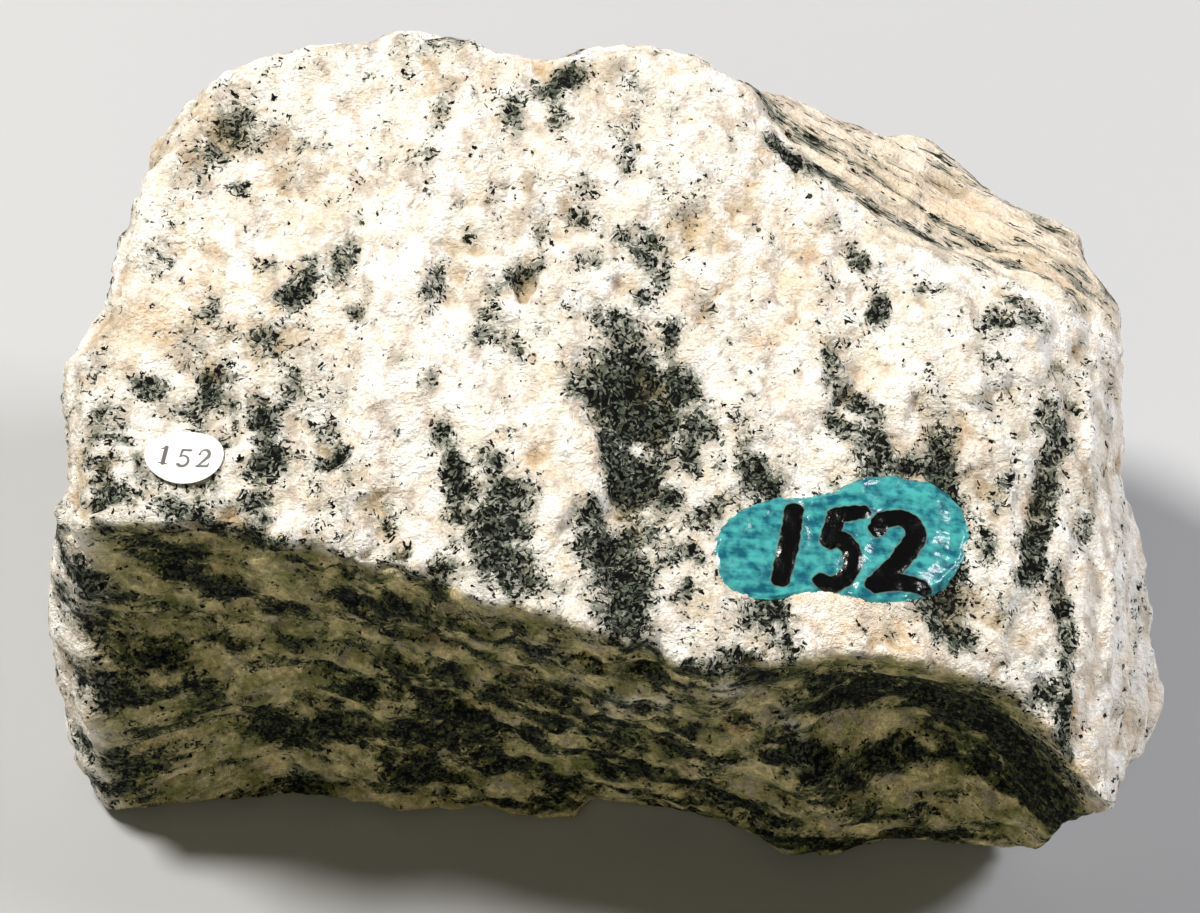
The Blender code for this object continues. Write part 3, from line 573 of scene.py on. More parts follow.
markings = {
    # dark clots on the big face: across, down, half width, half height, turn, strength
    "face": [
        (238, 120, 16, 14, 0, 0.45), (215, 155, 24, 10, 30, 0.25), (240, 188, 10, 10, 0, 0.6),
        (312, 143, 20, 9, 0, 0.25), (235, 140, 32, 24, 0, 0.15), (160, 262, 16, 18, 0, 0.28),
        (265, 270, 15, 11, 0, 0.32), (310, 275, 15, 20, -20, 0.45), (298, 298, 21, 13, 35, 0.8),
        (345, 262, 13, 22, -15, 0.55), (358, 315, 13, 11, -20, 0.28), (210, 312, 11, 15, 0, 0.32),
        (265, 345, 13, 22, 20, 0.42), (185, 340, 16, 28, 0, 0.22), (150, 388, 15, 13, 0, 0.65),
        (215, 383, 18, 11, -10, 0.45), (192, 405, 24, 10, 20, 0.4), (293, 393, 9, 15, -20, 0.42),
        (230, 400, 15, 9, -20, 0.25), (270, 438, 13, 32, 28, 0.7), (335, 463, 18, 11, 30, 0.5),
        (325, 432, 9, 9, 0, 0.18), (105, 435, 15, 11, 0, 0.22), (150, 470, 24, 9, -30, 0.18),
        (178, 507, 26, 8, -8, 0.35), (435, 288, 10, 26, -15, 0.5), (441, 110, 11, 32, -10, 0.28),
        (410, 75, 9, 9, 0, 0.15), (440, 46, 22, 7, 0, 0.3), (385, 110, 11, 9, 0, 0.15),
        (430, 165, 9, 16, 0, 0.15), (330, 205, 9, 11, 0, 0.18), (510, 115, 11, 19, 10, 0.4),
        (565, 80, 21, 11, 35, 0.85), (550, 95, 14, 12, 0, 0.5), (558, 125, 10, 19, 10, 0.5),
        (635, 85, 22, 11, -45, 0.25), (625, 150, 11, 26, 10, 0.3), (582, 190, 18, 13, 0, 0.25),
        (583, 218, 15, 11, 0, 0.55), (545, 235, 9, 17, 0, 0.28), (528, 275, 25, 10, 30, 0.38),
        (500, 290, 17, 10, 30, 0.32), (485, 325, 11, 25, -25, 0.38), (512, 345, 11, 21, 35, 0.32),
        (562, 315, 9, 13, 0, 0.22), (540, 335, 9, 9, 0, 0.18), (470, 240, 9, 11, 0, 0.18),
        (630, 240, 26, 15, 0, 0.35), (595, 262, 15, 11, 0, 0.32), (650, 258, 17, 20, 40, 0.38),
        (662, 275, 11, 17, 0, 0.38), (642, 298, 13, 13, 0, 0.38), (600, 315, 13, 11, 0, 0.45),
        (620, 325, 19, 13, 0, 0.75), (672, 335, 11, 17, 0, 0.48), (625, 362, 25, 22, 0, 0.7),
        (632, 400, 40, 32, 0, 1), (682, 385, 15, 15, 0, 0.9), (575, 385, 17, 20, 0, 0.32),
        (700, 425, 13, 15, 0, 0.75), (665, 420, 24, 20, 0, 0.5), (692, 455, 11, 19, 0, 0.6),
        (614, 445, 14, 20, 0, 0.65), (630, 480, 22, 25, 10, 1), (670, 500, 13, 11, 0, 0.8),
        (657, 455, 14, 20, 0, 0.4), (590, 520, 15, 17, 0, 0.75), (645, 528, 15, 13, 0, 0.55),
        (604, 555, 26, 22, 0, 0.8), (630, 590, 22, 34, 0, 1), (590, 600, 15, 13, 0, 0.4),
        (625, 628, 20, 13, 0, 0.75), (675, 560, 11, 11, 0, 0.38), (682, 595, 10, 11, 0, 0.28),
        (720, 508, 22, 11, 30, 0.4), (700, 520, 13, 11, 0, 0.32), (760, 482, 19, 14, -30, 0.75),
        (745, 460, 11, 17, 0, 0.32), (737, 570, 9, 16, -10, 0.6), (757, 620, 13, 13, 0, 0.58),
        (775, 602, 13, 15, 0, 0.6), (443, 435, 13, 14, 0, 0.68), (456, 480, 13, 17, 0, 0.72),
        (452, 460, 9, 14, 0, 0.4), (430, 385, 9, 15, -10, 0.28), (460, 510, 15, 17, 0, 0.32),
        (493, 465, 9, 17, 20, 0.32), (518, 498, 20, 13, -10, 0.62), (500, 540, 24, 33, 5, 1.15),
        (525, 580, 25, 16, -20, 0.65), (390, 520, 9, 11, 0, 0.22), (400, 552, 13, 9, 0, 0.5),
        (440, 568, 13, 9, 0, 0.5), (790, 153, 26, 9, -38, 1), (825, 172, 17, 8, -20, 0.5),
        (858, 259, 9, 17, 30, 0.8), (878, 312, 11, 17, -10, 0.8), (928, 295, 17, 9, 10, 0.4),
        (832, 285, 9, 13, 0, 0.25), (835, 220, 9, 13, 0, 0.2), (895, 225, 32, 9, 0, 0.16),
        (940, 158, 22, 9, -30, 0.2), (1000, 325, 15, 15, 0, 0.5), (1035, 328, 14, 13, 0, 0.5),
        (1015, 305, 13, 11, 0, 0.32), (1060, 365, 11, 11, 0, 0.32), (1075, 395, 9, 15, 0, 0.25),
        (1100, 345, 9, 9, 0, 0.2), (832, 370, 11, 28, 0, 0.4), (860, 405, 23, 11, -35, 0.62),
        (840, 430, 19, 11, -40, 0.48), (872, 440, 15, 15, -30, 0.6), (880, 468, 20, 18, -30, 0.9),
        (915, 395, 9, 15, 0, 0.18), (912, 465, 11, 13, 0, 0.48), (941, 450, 17, 26, 0, 0.5),
        (943, 480, 13, 20, 0, 0.75), (948, 520, 16, 26, 0, 0.8), (950, 572, 14, 16, 0, 0.7),
        (945, 602, 22, 14, 0, 0.75), (940, 630, 26, 15, -40, 0.5), (965, 640, 13, 13, 0, 0.42),
        (1045, 500, 10, 54, -12, 1.2), (1032, 555, 11, 22, 0, 1), (1065, 435, 9, 17, -20, 0.58),
        (1050, 415, 17, 20, 0, 0.28), (990, 550, 9, 22, 0, 0.32), (1000, 490, 7, 20, -30, 0.25),
        (1020, 580, 11, 9, 0, 0.32), (1100, 490, 8, 25, -20, 0.45), (1087, 520, 12, 20, -10, 0.48),
        (1062, 590, 9, 24, 5, 0.62), (1068, 615, 9, 19, 0, 0.62), (1066, 660, 9, 32, -5, 0.5),
        (1046, 695, 20, 14, 0, 0.6), (1066, 730, 9, 24, 0, 0.6), (1000, 620, 13, 9, 0, 0.28),
        (1120, 575, 11, 13, 0, 0.22), (1122, 690, 9, 15, 0, 0.35), (740, 663, 21, 9, -30, 0.6),
        (790, 648, 13, 14, 0, 0.5), (870, 500, 60, 20, 0, 0.3),
    ],
    # dark bands on the front face, given the same way; some are painted shadow, under the
    # overhanging edge above the scoop and near the foot
    "front": [
        (105, 522, 28, 8, 0, 0.8), (150, 545, 34, 13, -28, 0.9), (190, 572, 46, 17, -30, 1.0),
        (235, 592, 39, 13, -12, 0.9), (225, 530, 30, 13, -10, 1.0), (258, 530, 14, 11, 0, 0.7),
        (70, 580, 25, 13, -18, 1.0), (115, 598, 34, 11, -6, 0.95), (85, 630, 34, 10, -4, 0.8),
        (160, 655, 30, 11, -30, 0.8), (200, 675, 34, 11, -28, 0.8), (235, 700, 28, 14, -35, 0.9),
        (285, 728, 41, 20, -24, 1.0), (345, 725, 46, 20, 4, 0.85), (110, 685, 28, 22, -10, 0.95),
        (165, 725, 39, 17, -10, 0.85), (125, 760, 30, 22, -20, 0.85), (125, 790, 28, 14, 0, 0.7),
        (295, 560, 12, 7, 0, 0.7), (345, 573, 28, 7, -12, 0.8), (300, 603, 12, 8, 0, 0.6),
        (365, 600, 39, 20, -10, 0.8), (410, 612, 30, 17, -14, 0.8), (290, 637, 28, 8, 4, 0.7),
        (350, 645, 30, 14, -20, 0.6), (395, 672, 23, 14, -45, 0.9), (355, 690, 39, 10, 12, 0.8),
        (430, 695, 28, 20, -30, 0.85), (440, 592, 21, 11, -20, 0.7), (480, 628, 51, 13, -8, 0.95),
        (545, 642, 34, 13, -14, 0.9), (435, 672, 30, 15, -24, 0.75), (490, 690, 41, 13, -24, 0.85),
        (555, 705, 46, 11, -20, 0.9), (450, 725, 46, 25, -10, 0.8), (520, 728, 57, 13, -6, 0.9),
        (600, 735, 46, 13, -6, 0.85), (420, 772, 25, 28, 0, 1.15), (480, 762, 28, 17, -16, 0.85),
        (545, 780, 46, 17, -18, 0.9), (300, 788, 32, 11, 4, 0.7), (400, 792, 23, 11, 0, 0.6),
        (500, 808, 41, 11, 0, 0.7), (625, 647, 39, 8, -8, 0.8), (650, 672, 30, 13, -10, 0.9),
        (700, 672, 34, 8, 0, 0.8), (760, 672, 39, 10, -6, 0.85), (640, 705, 46, 10, -6, 0.55),
        (690, 733, 34, 13, -8, 0.85), (620, 770, 46, 11, -10, 0.6), (775, 745, 16, 13, -40, 0.9),
        (805, 765, 30, 17, -40, 1.0), (865, 772, 39, 17, -4, 0.9), (830, 700, 51, 20, 4, 0.6),
        (900, 690, 69, 31, -8, 0.9), (980, 715, 57, 28, -26, 1.0), (1040, 752, 39, 17, -30, 0.95),
        (935, 763, 23, 13, 0, 1.0), (1000, 775, 21, 21, 0, 0.9), (1040, 785, 34, 22, -20, 0.85),
        (820, 805, 46, 13, -30, 0.7), (880, 812, 51, 11, -4, 0.7), (740, 800, 69, 14, -14, 0.8),
        (660, 795, 69, 8, -4, 0.7), (780, 835, 34, 14, -10, 0.8), (850, 845, 69, 8, 0, 0.6),
        (1060, 828, 34, 17, 20, 0.6), (1118, 762, 39, 6, 36, 0.9), (560, 800, 23, 11, -20, 0.7),
        (650, 775, 60, 18, -8, 0.8), (690, 750, 40, 14, -8, 0.7), (600, 752, 50, 14, -8, 0.6),
        (900, 700, 90, 20, -4, 0.7), (1005, 738, 50, 20, -35, 0.8), (840, 847, 90, 10, 0, 0.7),
        (950, 836, 90, 8, 0, 0.6), (370, 622, 40, 18, -20, 0.8), (245, 708, 50, 11, -24, 0.7),
        (430, 738, 40, 20, -20, 0.6), (540, 716, 60, 13, -14, 0.7), (620, 725, 40, 12, -6, 0.7),
        (150, 690, 50, 10, -10, 0.35), (210, 640, 50, 10, -10, 0.3), (320, 665, 50, 8, -10, 0.35),
        (560, 665, 60, 6, -10, 0.3), (700, 705, 50, 8, -14, 0.5), (740, 720, 40, 10, -30, 0.5),
        (1050, 800, 30, 20, -20, 0.5), (460, 650, 40, 12, -16, 0.4), (880, 676, 100, 12, -2, 0.7),
        (980, 704, 50, 14, -24, 0.7), (700, 690, 60, 8, 4, 0.5), (560, 690, 40, 10, -10, 0.5),
    ],
    # places on the front face where fresh white crystals show
    "fresh": [
        (731, 691, 20, 9, 0, 0.9), (618, 704, 24, 9, 0, 0.6), (788, 722, 10, 16, 30, 0.6),
        (803, 752, 10, 18, 30, 0.5), (300, 770, 16, 8, 0, 0.4), (545, 655, 16, 7, 0, 0.5),
        (660, 705, 12, 8, 0, 0.5), (200, 775, 30, 10, -10, 0.35),
    ],
    # rusty and buff stains on the big face
    "rust": [
        (320, 235, 50, 70, 0, 0.6), (230, 310, 60, 60, 0, 0.5), (790, 290, 60, 90, 0, 0.5),
        (870, 620, 90, 50, 0, 0.7), (560, 430, 50, 90, 10, 0.3), (930, 460, 60, 40, 0, 0.5),
        (1000, 240, 90, 30, -26, 0.7), (150, 330, 50, 60, 0, 0.5), (480, 110, 60, 40, 0, 0.3),
        (1080, 720, 60, 60, 0, 0.5), (700, 580, 60, 50, 0, 0.3), (270, 480, 90, 40, 0, 0.35),
        (830, 150, 110, 22, -30, 1.0), (940, 205, 110, 26, -28, 1.0), (1040, 265, 90, 22, -24, 1.0),
    ],
}


# Sum over the marks of strength * exp(-q^1.2), where q is the squared distance in each mark's own
# ellipsoid. Its middle lies on the stone, its plane is the layering on the big face, and on the
# front face it is a lens seen from its edge.
def markDensity(p, rows, onFront):
    grain = alongGrain(p)
    total = np.zeros(len(p))
    for column, row, halfWide, halfHigh, turn, strength in rows:
        u, v = np.atleast_1d(across(column)), np.atleast_1d(upward(row))
        depth = frontDepth(u, v)[0] if onFront else np.minimum(faceDepth(u, v), bevelDepth(u, v))
        away = grain - alongGrain(sightPoint(u, v, depth))
        c, s = math.cos(math.radians(turn)), math.sin(math.radians(turn))
        rise = away[:, 2] / 0.72 if onFront else away[:, 1]
        squash = 0.9 if onFront else faceSlant
        a = (away[:, 0] * c + rise * squash * s) / (halfWide * sight["unit"])
        b = (rise * squash * c - away[:, 0] * s) / (halfHigh * sight["unit"])
        through = away[:, 1] / 15.0 if onFront else away[:, 2] / 3.2
        q = a * a + b * b + through * through
        total += strength * np.exp(-(q**1.2))
    return total


# 1 on the front face and 0 on the big one: eased over 2 mm of how much lower the front's depth is.
def frontSide(p):
    u, v, depth = alongSight(p)
    return eased(faceDepth(u, v) - frontDepth(u, v)[0], -1.0, 1.0)


# The same, but 0 on hidden parts: those more than 3 to 8 mm behind the front face's plane.
def seenFront(p):
    u, v, depth = alongSight(p)
    return frontSide(p) * eased(depth - frontDepth(u, v)[0], -8.0, -3.0)


# Lattice noises that steer the colours: lattice size, seed.
toneNoises = {
    "fray": (2.8, 32),
    "streaks": ((6.5, 18.0, 2.2), 21),
    "fineStreaks": ((2.8, 8.0, 1.1), 22),
    "rich": ((15.0, 32.0, 8.0), 38),
    "clouds": ((5.0, 5.0, 3.0), 35),
    "fineClouds": (1.7, 36),
    "bevelEdge": (2.6, 25),
    "bevelStreaks": ((14.0, 1.7, 1.7), 24),
    "bevelBands": ((26.0, 5.0, 5.0), 26),
    "grain": (1.9, 23),
    "rust": (14.0, 31),
    "weatheringAndShade": (2.2, 27),
    "fresh": (1.5, 37),
}


def toneNoise(p, name, step=0):
    size, seed = toneNoises[name]
    return latticeNoise(p / np.array(size), seed + step)


# How far the front face is weathered and takes painted shade: from its upper edge down, patchy,
# less at the left end and where fresh crystals show. Partly real weathering, partly painted shade.
def weatheringAndShade(p):
    u, v, depth = alongSight(p)
    below = faceDepth(u, v) - frontDepth(u, v)[0] + 1.2 * toneNoise(p, "weatheringAndShade")
    inside = u - across(leftEdge(sight["middle"][1] - v / sight["unit"]))
    fresh = np.clip(hills(u, v, markings["fresh"]) * (1 + toneNoise(p, "fresh")), 0, 1)
    return eased(below, 0.2, 2.6) * eased(inside, -1.0, 3.0) * seenFront(p) * (1 - fresh)


# Share of dark crystals before they clump: the marks, some of them painted shadow on the front
# face, wild streaks (mostly on hidden sides), clouds on the front face and streaks along the bevel,
# all times 1 + noise. Also how much is bevel.
def darkShare(p, shown):
    front = seenFront(p)
    # the lenses are frayed: places are pushed about before they are measured
    fray = np.stack([toneNoise(p, "fray", step) for step in range(3)], 1)
    # layers dip to the right: through them is up plus 0.22 across. Some are richer in dark crystals
    layered = alongGrain(p)
    layered[:, 2] += 0.22 * layered[:, 0]
    streaks = toneNoise(layered + 1.2 * fray, "streaks") + 0.7 * toneNoise(layered, "fineStreaks")
    wild = np.clip(streaks * 1.5 + 0.2 + 1.1 * toneNoise(layered, "rich"), 0, 1)
    dark = markDensity(p, markings["face"], False)
    # front face: dark bands, and painted shadow under the overhang and near the foot
    dark += markDensity(p + 2.0 * fray, markings["front"], True)
    dark += wild * (0.12 + 0.5 * (1 - shown))
    clouded = toneNoise(p, "clouds") + 0.6 * toneNoise(p, "fineClouds")
    dark += front * np.clip(0.07 + 0.42 * clouded, 0, 0.5)
    # on the bevel the dark crystals are drawn out into streaks along its edge
    bevel = eased(bevelSide(*alongSight(p)) + 0.4 * toneNoise(p, "bevelEdge"), 0.15, 0.95)
    crease = p @ creaseAxes().T
    streaks = toneNoise(crease, "bevelStreaks") + 0.8 * toneNoise(crease, "bevelBands")
    dark += bevel * np.clip(0.04 + 0.42 * streaks, 0, 0.45)
    dark *= (1.15 - 0.2 * front) * (1 + (0.5 + 0.3 * front) * toneNoise(p, "grain"))
    return dark, bevel


def buildStone():
    shape = stoneShape
    places, quads = boxGrid(shape["boxCells"])
    direction = places * shape["boxHalf"] + shape["boxMiddle"] - shape["rayPoint"]
    direction /= np.linalg.norm(direction, axis=1)[:, None]
    far = whereItEnds(shape["rayPoint"], direction, 0.0, 100.0)
    points = shape["rayPoint"] + direction * far[:, None]
    u, v, depth = alongSight(points)
    angle = np.arctan2(v - rim["centre"][1], u - rim["centre"][0])
    rimDepth = np.interp(angle, rim["angle"], rim["depth"], period=2 * math.pi)
    shown = eased(depth - rimDepth, -3.0, 2.0)
    dark, bevel = darkShare(points, shown)
    # dark clots lie a little lower than the pale crystals, except on the front face
    height = breakage(points)
    sunk = height - shape["clotDepth"] * np.clip(dark, 0, 1) * (1 - frontSide(points))
    points = points + fieldNormals(points) * sunk[:, None]
    points[:, 2] = np.maximum(points[:, 2], 0)
    stone = meshObject("broken_stone", points + np.array(sight["centring"]), quads)
    rust = markDensity(points, markings["rust"], False)
    rust += 0.5 * np.maximum(toneNoise(points, "rust"), 0) * (1 - 0.5 * shown)
    paintAttribute(stone, "darkness", np.clip(dark, 0, 1.4))
    paintAttribute(stone, "rust", np.clip(rust, 0, 1))
    # the front face's weathering, which also carries its painted shade
    paintAttribute(stone, "weatheredAndShaded", weatheringAndShade(points))
    paintAttribute(stone, "bevel", bevel)
    paintAttribute(stone, "hollow", np.clip(0.5 - 0.7 * height, 0, 1))
    print("stone surface ready:", len(points), "points")
    return stone


# The big face's own axes: across, up the slope, out of it.
faceTurn = math.atan(stoneShape["faceSlope"])
faceSide = np.array([1.0, 0.0, 0.0])
faceUp = np.array([0.0, math.cos(faceTurn), math.sin(faceTurn)])
faceOut = np.cross(faceSide, faceUp)


# Point of the smooth big face that is seen at a place of the grid.
def facePoint(column, row):
    u, v = np.atleast_1d(across(column)), np.atleast_1d(upward(row))
    eye = np.array(sight["point"]) + np.array([0, -sightCos, sightSin]) * sight["distance"]
    aim = np.array(sight["point"]) + np.stack([u, v * sightSin, v * sightCos], 1)
    way = aim - eye
    way /= np.linalg.norm(way, axis=1)[:, None]
    near = whereItEnds(eye + way * 700.0, -way, 150.0, 330.0)
    return eye + way * (700.0 - near)[:, None]


# Height of the stone over the face's plane through `middle`, at flat places (a, b) of it.
def groundHeights(middle, flat):
    start = middle + flat[:, :1] * faceSide + flat[:, 1:] * faceUp - faceOut * 12.0
    height = whereItEnds(start, np.repeat(faceOut[None], len(flat), 0), 0.0, 24.0, 16)
    ground = start + height[:, None] * faceOut
    return height - 12.0 + breakage(ground)


# Disc with its edge at reach(angle): ring r and spoke t give (r/R) * reach * (cos t, sin t).
def discPlaces(reach, rings, spokes):
    angle = 2 * math.pi * np.arange(spokes) / spokes
    share = (np.arange(rings) + 1.0)[:, None] / rings
    a, b = share * reach(angle) * np.cos(angle), share * reach(angle) * np.sin(angle)
    return np.concatenate([[[0.0, 0.0]], np.stack([a.ravel(), b.ravel()], 1)])


def discFaces(rings, spokes, start, flip):
    spoke = np.arange(spokes)
    after = (spoke + 1) % spokes
    fan = [(start, start + 1 + here, start + 1 + there) for here, there in zip(spoke, after)]
    low = start + 1 + np.arange(rings - 1)[:, None] * spokes
    quads = np.stack([low + spoke, low + spokes + spoke, low + spokes + after, low + after], -1)
    faces = fan + [tuple(quad) for quad in quads.reshape(-1, 4)]
    return [face[::-1] for face in faces] if flip else faces


# A closed sheet from its upper and lower surface, joined round the edge.
def sheetObject(name, middle, flat, upper, lower, rings, spokes):
    points = [
        middle + flat[:, :1] * faceSide + flat[:, 1:] * faceUp + height[:, None] * faceOut
        for height in (upper, lower)
    ]
    half = len(flat)
    edge = 1 + (rings - 1) * spokes + np.arange(spokes)
    after = np.roll(edge, -1)
    rimFaces = list(zip(edge, edge + half, after + half, after))
    faces = discFaces(rings, spokes, 0, False) + discFaces(rings, spokes, half, True) + rimFaces
    return meshObject(name, np.concatenate(points) + np.array(sight["centring"]), faces)


# Share of the way from a disc's middle to its edge, for each of its places.
def discShare(rings, spokes):
    return np.concatenate([[0.0], np.repeat((np.arange(rings) + 1.0) / rings, spokes)])


# Lattice noise over flat places.
def flatNoise(flat, size, seed):
    return latticeNoise(np.c_[flat / np.array(size), flat[:, 0] * 0], seed)


# A sheet's upper side carries its ink, and both sides know the way to the edge.
def inkSheet(piece, ink, edge):
    noInk = 9.0
    paintAttribute(piece, "ink", np.concatenate([ink, np.full(len(ink), noInk)]))
    paintAttribute(piece, "edge", np.concatenate([edge, edge]))


# Signed way from places to a brushed line: distance to each piece of it, less the half width there.
def strokeDistance(flat, strokes):
    best = np.full(len(flat), 99.0)
    for stroke in strokes:
        for (ax, ay, aw), (bx, by, bw) in zip(stroke[:-1], stroke[1:]):
            start, way = np.array([ax, ay]), np.array([bx - ax, by - ay])
            share = np.clip((flat - start) @ way / max(way @ way, 1e-9), 0, 1)
            gap = np.linalg.norm(flat - start - share[:, None] * way, axis=1)
            best = np.minimum(best, gap - (aw + (bw - aw) * share))
    return best


# Points of an arc about (x, y): radii, start and end angle, half widths at both ends.
def arcStroke(x, y, wide, high, start, end, thin, thick, count=14):
    turn = np.radians(np.linspace(start, end, count))
    width = np.linspace(thin, thick, count)
    return list(zip(x + wide * np.cos(turn), y + high * np.sin(turn), width))


label = {
    "centre": (185.0, 460.5),
    "size": (8.3, 6.5),
    "turn": math.radians(-8.0),
    "thickness": 0.12,
    "rings": 66,
    "spokes": 216,
    "curl": 0.12,
    "digitSize": (1.65, 2.2),
    "digitStep": 2.1,
    "pen": 1.3,
    # the paper clears the highest crystals: share of them below it, and gap
    "clears": 99.5,
    "gap": 0.04,
}

# Digits in a 1 x 1 box, as pen strokes: x, y, half width as a share of the box's width
printedDigits = {
    "1": [
        [(0.50, 0.98, 0.10), (0.50, 0.03, 0.10)],
        [(0.22, 0.84, 0.03), (0.50, 0.97, 0.06)],
        [(0.24, 0.03, 0.035), (0.76, 0.03, 0.035)],
    ],
    "5": [
        [(0.80, 0.93, 0.07), (0.28, 0.93, 0.07), (0.20, 0.52, 0.035)],
        [(0.20, 0.54, 0.04)] + arcStroke(0.42, 0.31, 0.36, 0.30, 100, -130, 0.05, 0.09, 20)
        + [(0.12, 0.10, 0.06)],
    ],
    "2": [
        [(0.16, 0.74, 0.08)] + arcStroke(0.46, 0.70, 0.31, 0.27, 160, -25, 0.04, 0.10)
        + [(0.14, 0.05, 0.04)],
        [(0.12, 0.06, 0.07), (0.80, 0.06, 0.07), (0.86, 0.22, 0.03)],
    ],
}

paint = {
    "centre": (843.0, 541.0),
    # edge of the patch, clockwise from the left: across, down
    "outline": [
        (712, 556), (716, 538), (726, 520), (742, 508), (770, 499), (800, 497), (826, 494),
        (846, 485), (868, 478), (895, 475), (920, 478), (944, 489), (960, 506), (969, 530),
        (966, 555), (950, 580), (926, 597), (892, 606), (862, 603), (832, 594), (800, 594),
        (774, 600), (746, 597), (723, 583),
    ],
    "thickness": 0.34,
    "rings": 96,
    "spokes": 330,
    # each digit's left side, foot, width and height in grid steps
    "digits": (("1", 768, 580, 30, 70), ("5", 815, 584, 44, 74), ("2", 868, 590, 56, 76)),
    "pen": 1.05,
    "slant": 0.10,
    # ragged edge: waves round it, height, seed
    "edgeWaves": ((9, 0.28, 51), (26, 0.12, 52)),
    "evenings": 14,
    # how far its underside lies in the stone, and how much of its thickness
    "rooted": 0.6,
    "sunk": 0.12,
    # height, size, seed
    "brush": (0.035, (5.0, 0.9), 53),
    "lumps": (0.045, 1.5, 54),
    "inkWobble": (0.16, 0.8, 55),
    "inkHeight": 0.09,
}

brushedDigits = {
    "1": [[(0.66, 1.0, 0.9), (0.60, 0.55, 1.0), (0.42, 0.02, 0.92)]],
    "5": [
        [(0.96, 0.96, 0.75), (0.36, 0.90, 0.95), (0.24, 0.55, 0.95)],
        [(0.24, 0.57, 0.9)] + arcStroke(0.36, 0.28, 0.46, 0.29, 85, -120, 0.95, 0.8, 18),
    ],
    "2": [
        [(0.06, 0.78, 0.8)] + arcStroke(0.42, 0.76, 0.36, 0.22, 150, -35, 0.9, 1.05)
        + [(0.50, 0.36, 1.0), (0.12, 0.06, 1.0), (0.50, 0.10, 1.0), (0.98, 0.06, 0.8)],
    ],
}


# A digit's strokes in millimetres: box coordinates times width and height, from its lower left.
def placedStrokes(strokes, corner, width, height, pen, slant=0.0):
    left, foot = corner
    return [
        [(left + x * width + y * height * slant, foot + y * height, w * pen) for x, y, w in stroke]
        for stroke in strokes
    ]


# Terms of a gently bent sheet over places (a, b): 1, a, b, a^2, ab, b^2.
def bentSheet(flat):
    a, b = flat.T
    return np.stack([np.ones(len(a)), a, b, a**2, a * b, b**2], 1)


def buildLabel():
    halfWide, halfHigh = label["size"][0] / 2, label["size"][1] / 2
    rings, spokes = label["rings"], label["spokes"]
    middle = facePoint(*label["centre"])[0]

    def reach(angle):
        turned = angle - label["turn"]
        return 1 / np.hypot(np.cos(turned) / halfWide, np.sin(turned) / halfHigh)

    flat = discPlaces(reach, rings, spokes)
    probe = discPlaces(reach, 18, 60)
    ground = groundHeights(middle, probe)
    fit, *_ = np.linalg.lstsq(bentSheet(probe), ground, rcond=None)
    lift = np.percentile(ground - bentSheet(probe) @ fit, label["clears"]) + label["gap"]
    # its edge lifts by curl * share^6
    share = discShare(rings, spokes)
    curl = label["curl"] * share**6 * (0.5 + 0.5 * flatNoise(flat, 3.0, 41))
    lower = bentSheet(flat) @ fit + lift + curl
    upper = lower + label["thickness"]
    piece = sheetObject("paper_sticker", middle, flat, upper, lower, rings, spokes)
    c, s = math.cos(label["turn"]), math.sin(label["turn"])
    upright = flat @ np.array([[c, -s], [s, c]])
    ink = np.full(len(flat), 99.0)
    wide, high = label["digitSize"]
    for number, digit in enumerate("152"):
        corner = ((number - 1) * label["digitStep"] - wide / 2, -high / 2)
        strokes = placedStrokes(printedDigits[digit], corner, wide, high, label["pen"] * wide)
        ink = np.minimum(ink, strokeDistance(upright, strokes))
    inkSheet(piece, ink, share)
    print("label ready")
    return piece


# Reach of the paint's edge for each angle round its middle, in the face's plane.
def paintReach(middle):
    corners = np.array(paint["outline"], float)
    away = facePoint(corners[:, 0], corners[:, 1]) - middle
    edge = np.stack([away @ faceSide, away @ faceUp], 1)
    angle = np.linspace(-math.pi, math.pi, 721)[:-1]
    length = polarReach(edge, (0.0, 0.0), angle, 8)
    length = blurred(length, 8, ring=True)
    circle = np.stack([np.cos(angle), np.sin(angle)], 1)
    for waves, height, seed in paint["edgeWaves"]:
        length = length + height * flatNoise(circle * waves, 1.0, seed)
    return lambda where: np.interp(where, angle, length, period=2 * math.pi)


def buildPaint():
    rings, spokes = paint["rings"], paint["spokes"]
    middle = facePoint(*paint["centre"])[0]
    reach = paintReach(middle)
    flat = discPlaces(reach, rings, spokes)
    ground = groundHeights(middle, flat)
    # the paint fills the small pits: its height is the ground's, evened out over its neighbours
    even = ground[1:].reshape(rings, spokes)
    for _ in range(paint["evenings"]):
        even = (np.roll(even, 1, 1) + np.roll(even, -1, 1) + 2 * even) / 4
        even[1:-1] = (even[:-2] + even[2:] + 2 * even[1:-1]) / 4
    even = np.concatenate([[even[0].mean()], even.ravel()])
    # way to the edge along each spoke
    around = np.tile(reach(2 * math.pi * np.arange(spokes) / spokes), rings)
    near = np.concatenate([[9.0], (1 - discShare(rings, spokes)[1:]) * around])
    film = paint["thickness"] * eased(near, -0.1, 0.7) - paint["sunk"]
    brush, lumps, wobble = (
        height * flatNoise(flat, size, seed)
        for height, size, seed in (paint["brush"], paint["lumps"], paint["inkWobble"])
    )
    ink = np.full(len(flat), 99.0)
    for digit, column, row, width, height in paint["digits"]:
        columns = np.array([column, column + width, column])
        ends = facePoint(columns, np.array([row, row, row - height])) - middle
        x, y = ends @ faceSide, ends @ faceUp
        size = (x[1] - x[0], y[2] - y[0])
        strokes = placedStrokes(
            brushedDigits[digit], (x[0], y[0]), *size, paint["pen"], paint["slant"]
        )
        ink = np.minimum(ink, strokeDistance(flat, strokes))
    ink = ink + wobble
    body = paint["inkHeight"] * (1 - eased(ink, -0.5, 0.15))
    rough = (brush + lumps) * eased(near, 0, 1) * (0.35 + 0.65 * eased(ink, -0.1, 0.3))
    upper = np.maximum(even + film, ground - 0.05) + rough + body
    lower = ground - paint["rooted"]
    piece = sheetObject("turquoise_paint", middle, flat, upper, lower, rings, spokes)
    inkSheet(piece, ink, near)
    print("paint ready")
    return piece


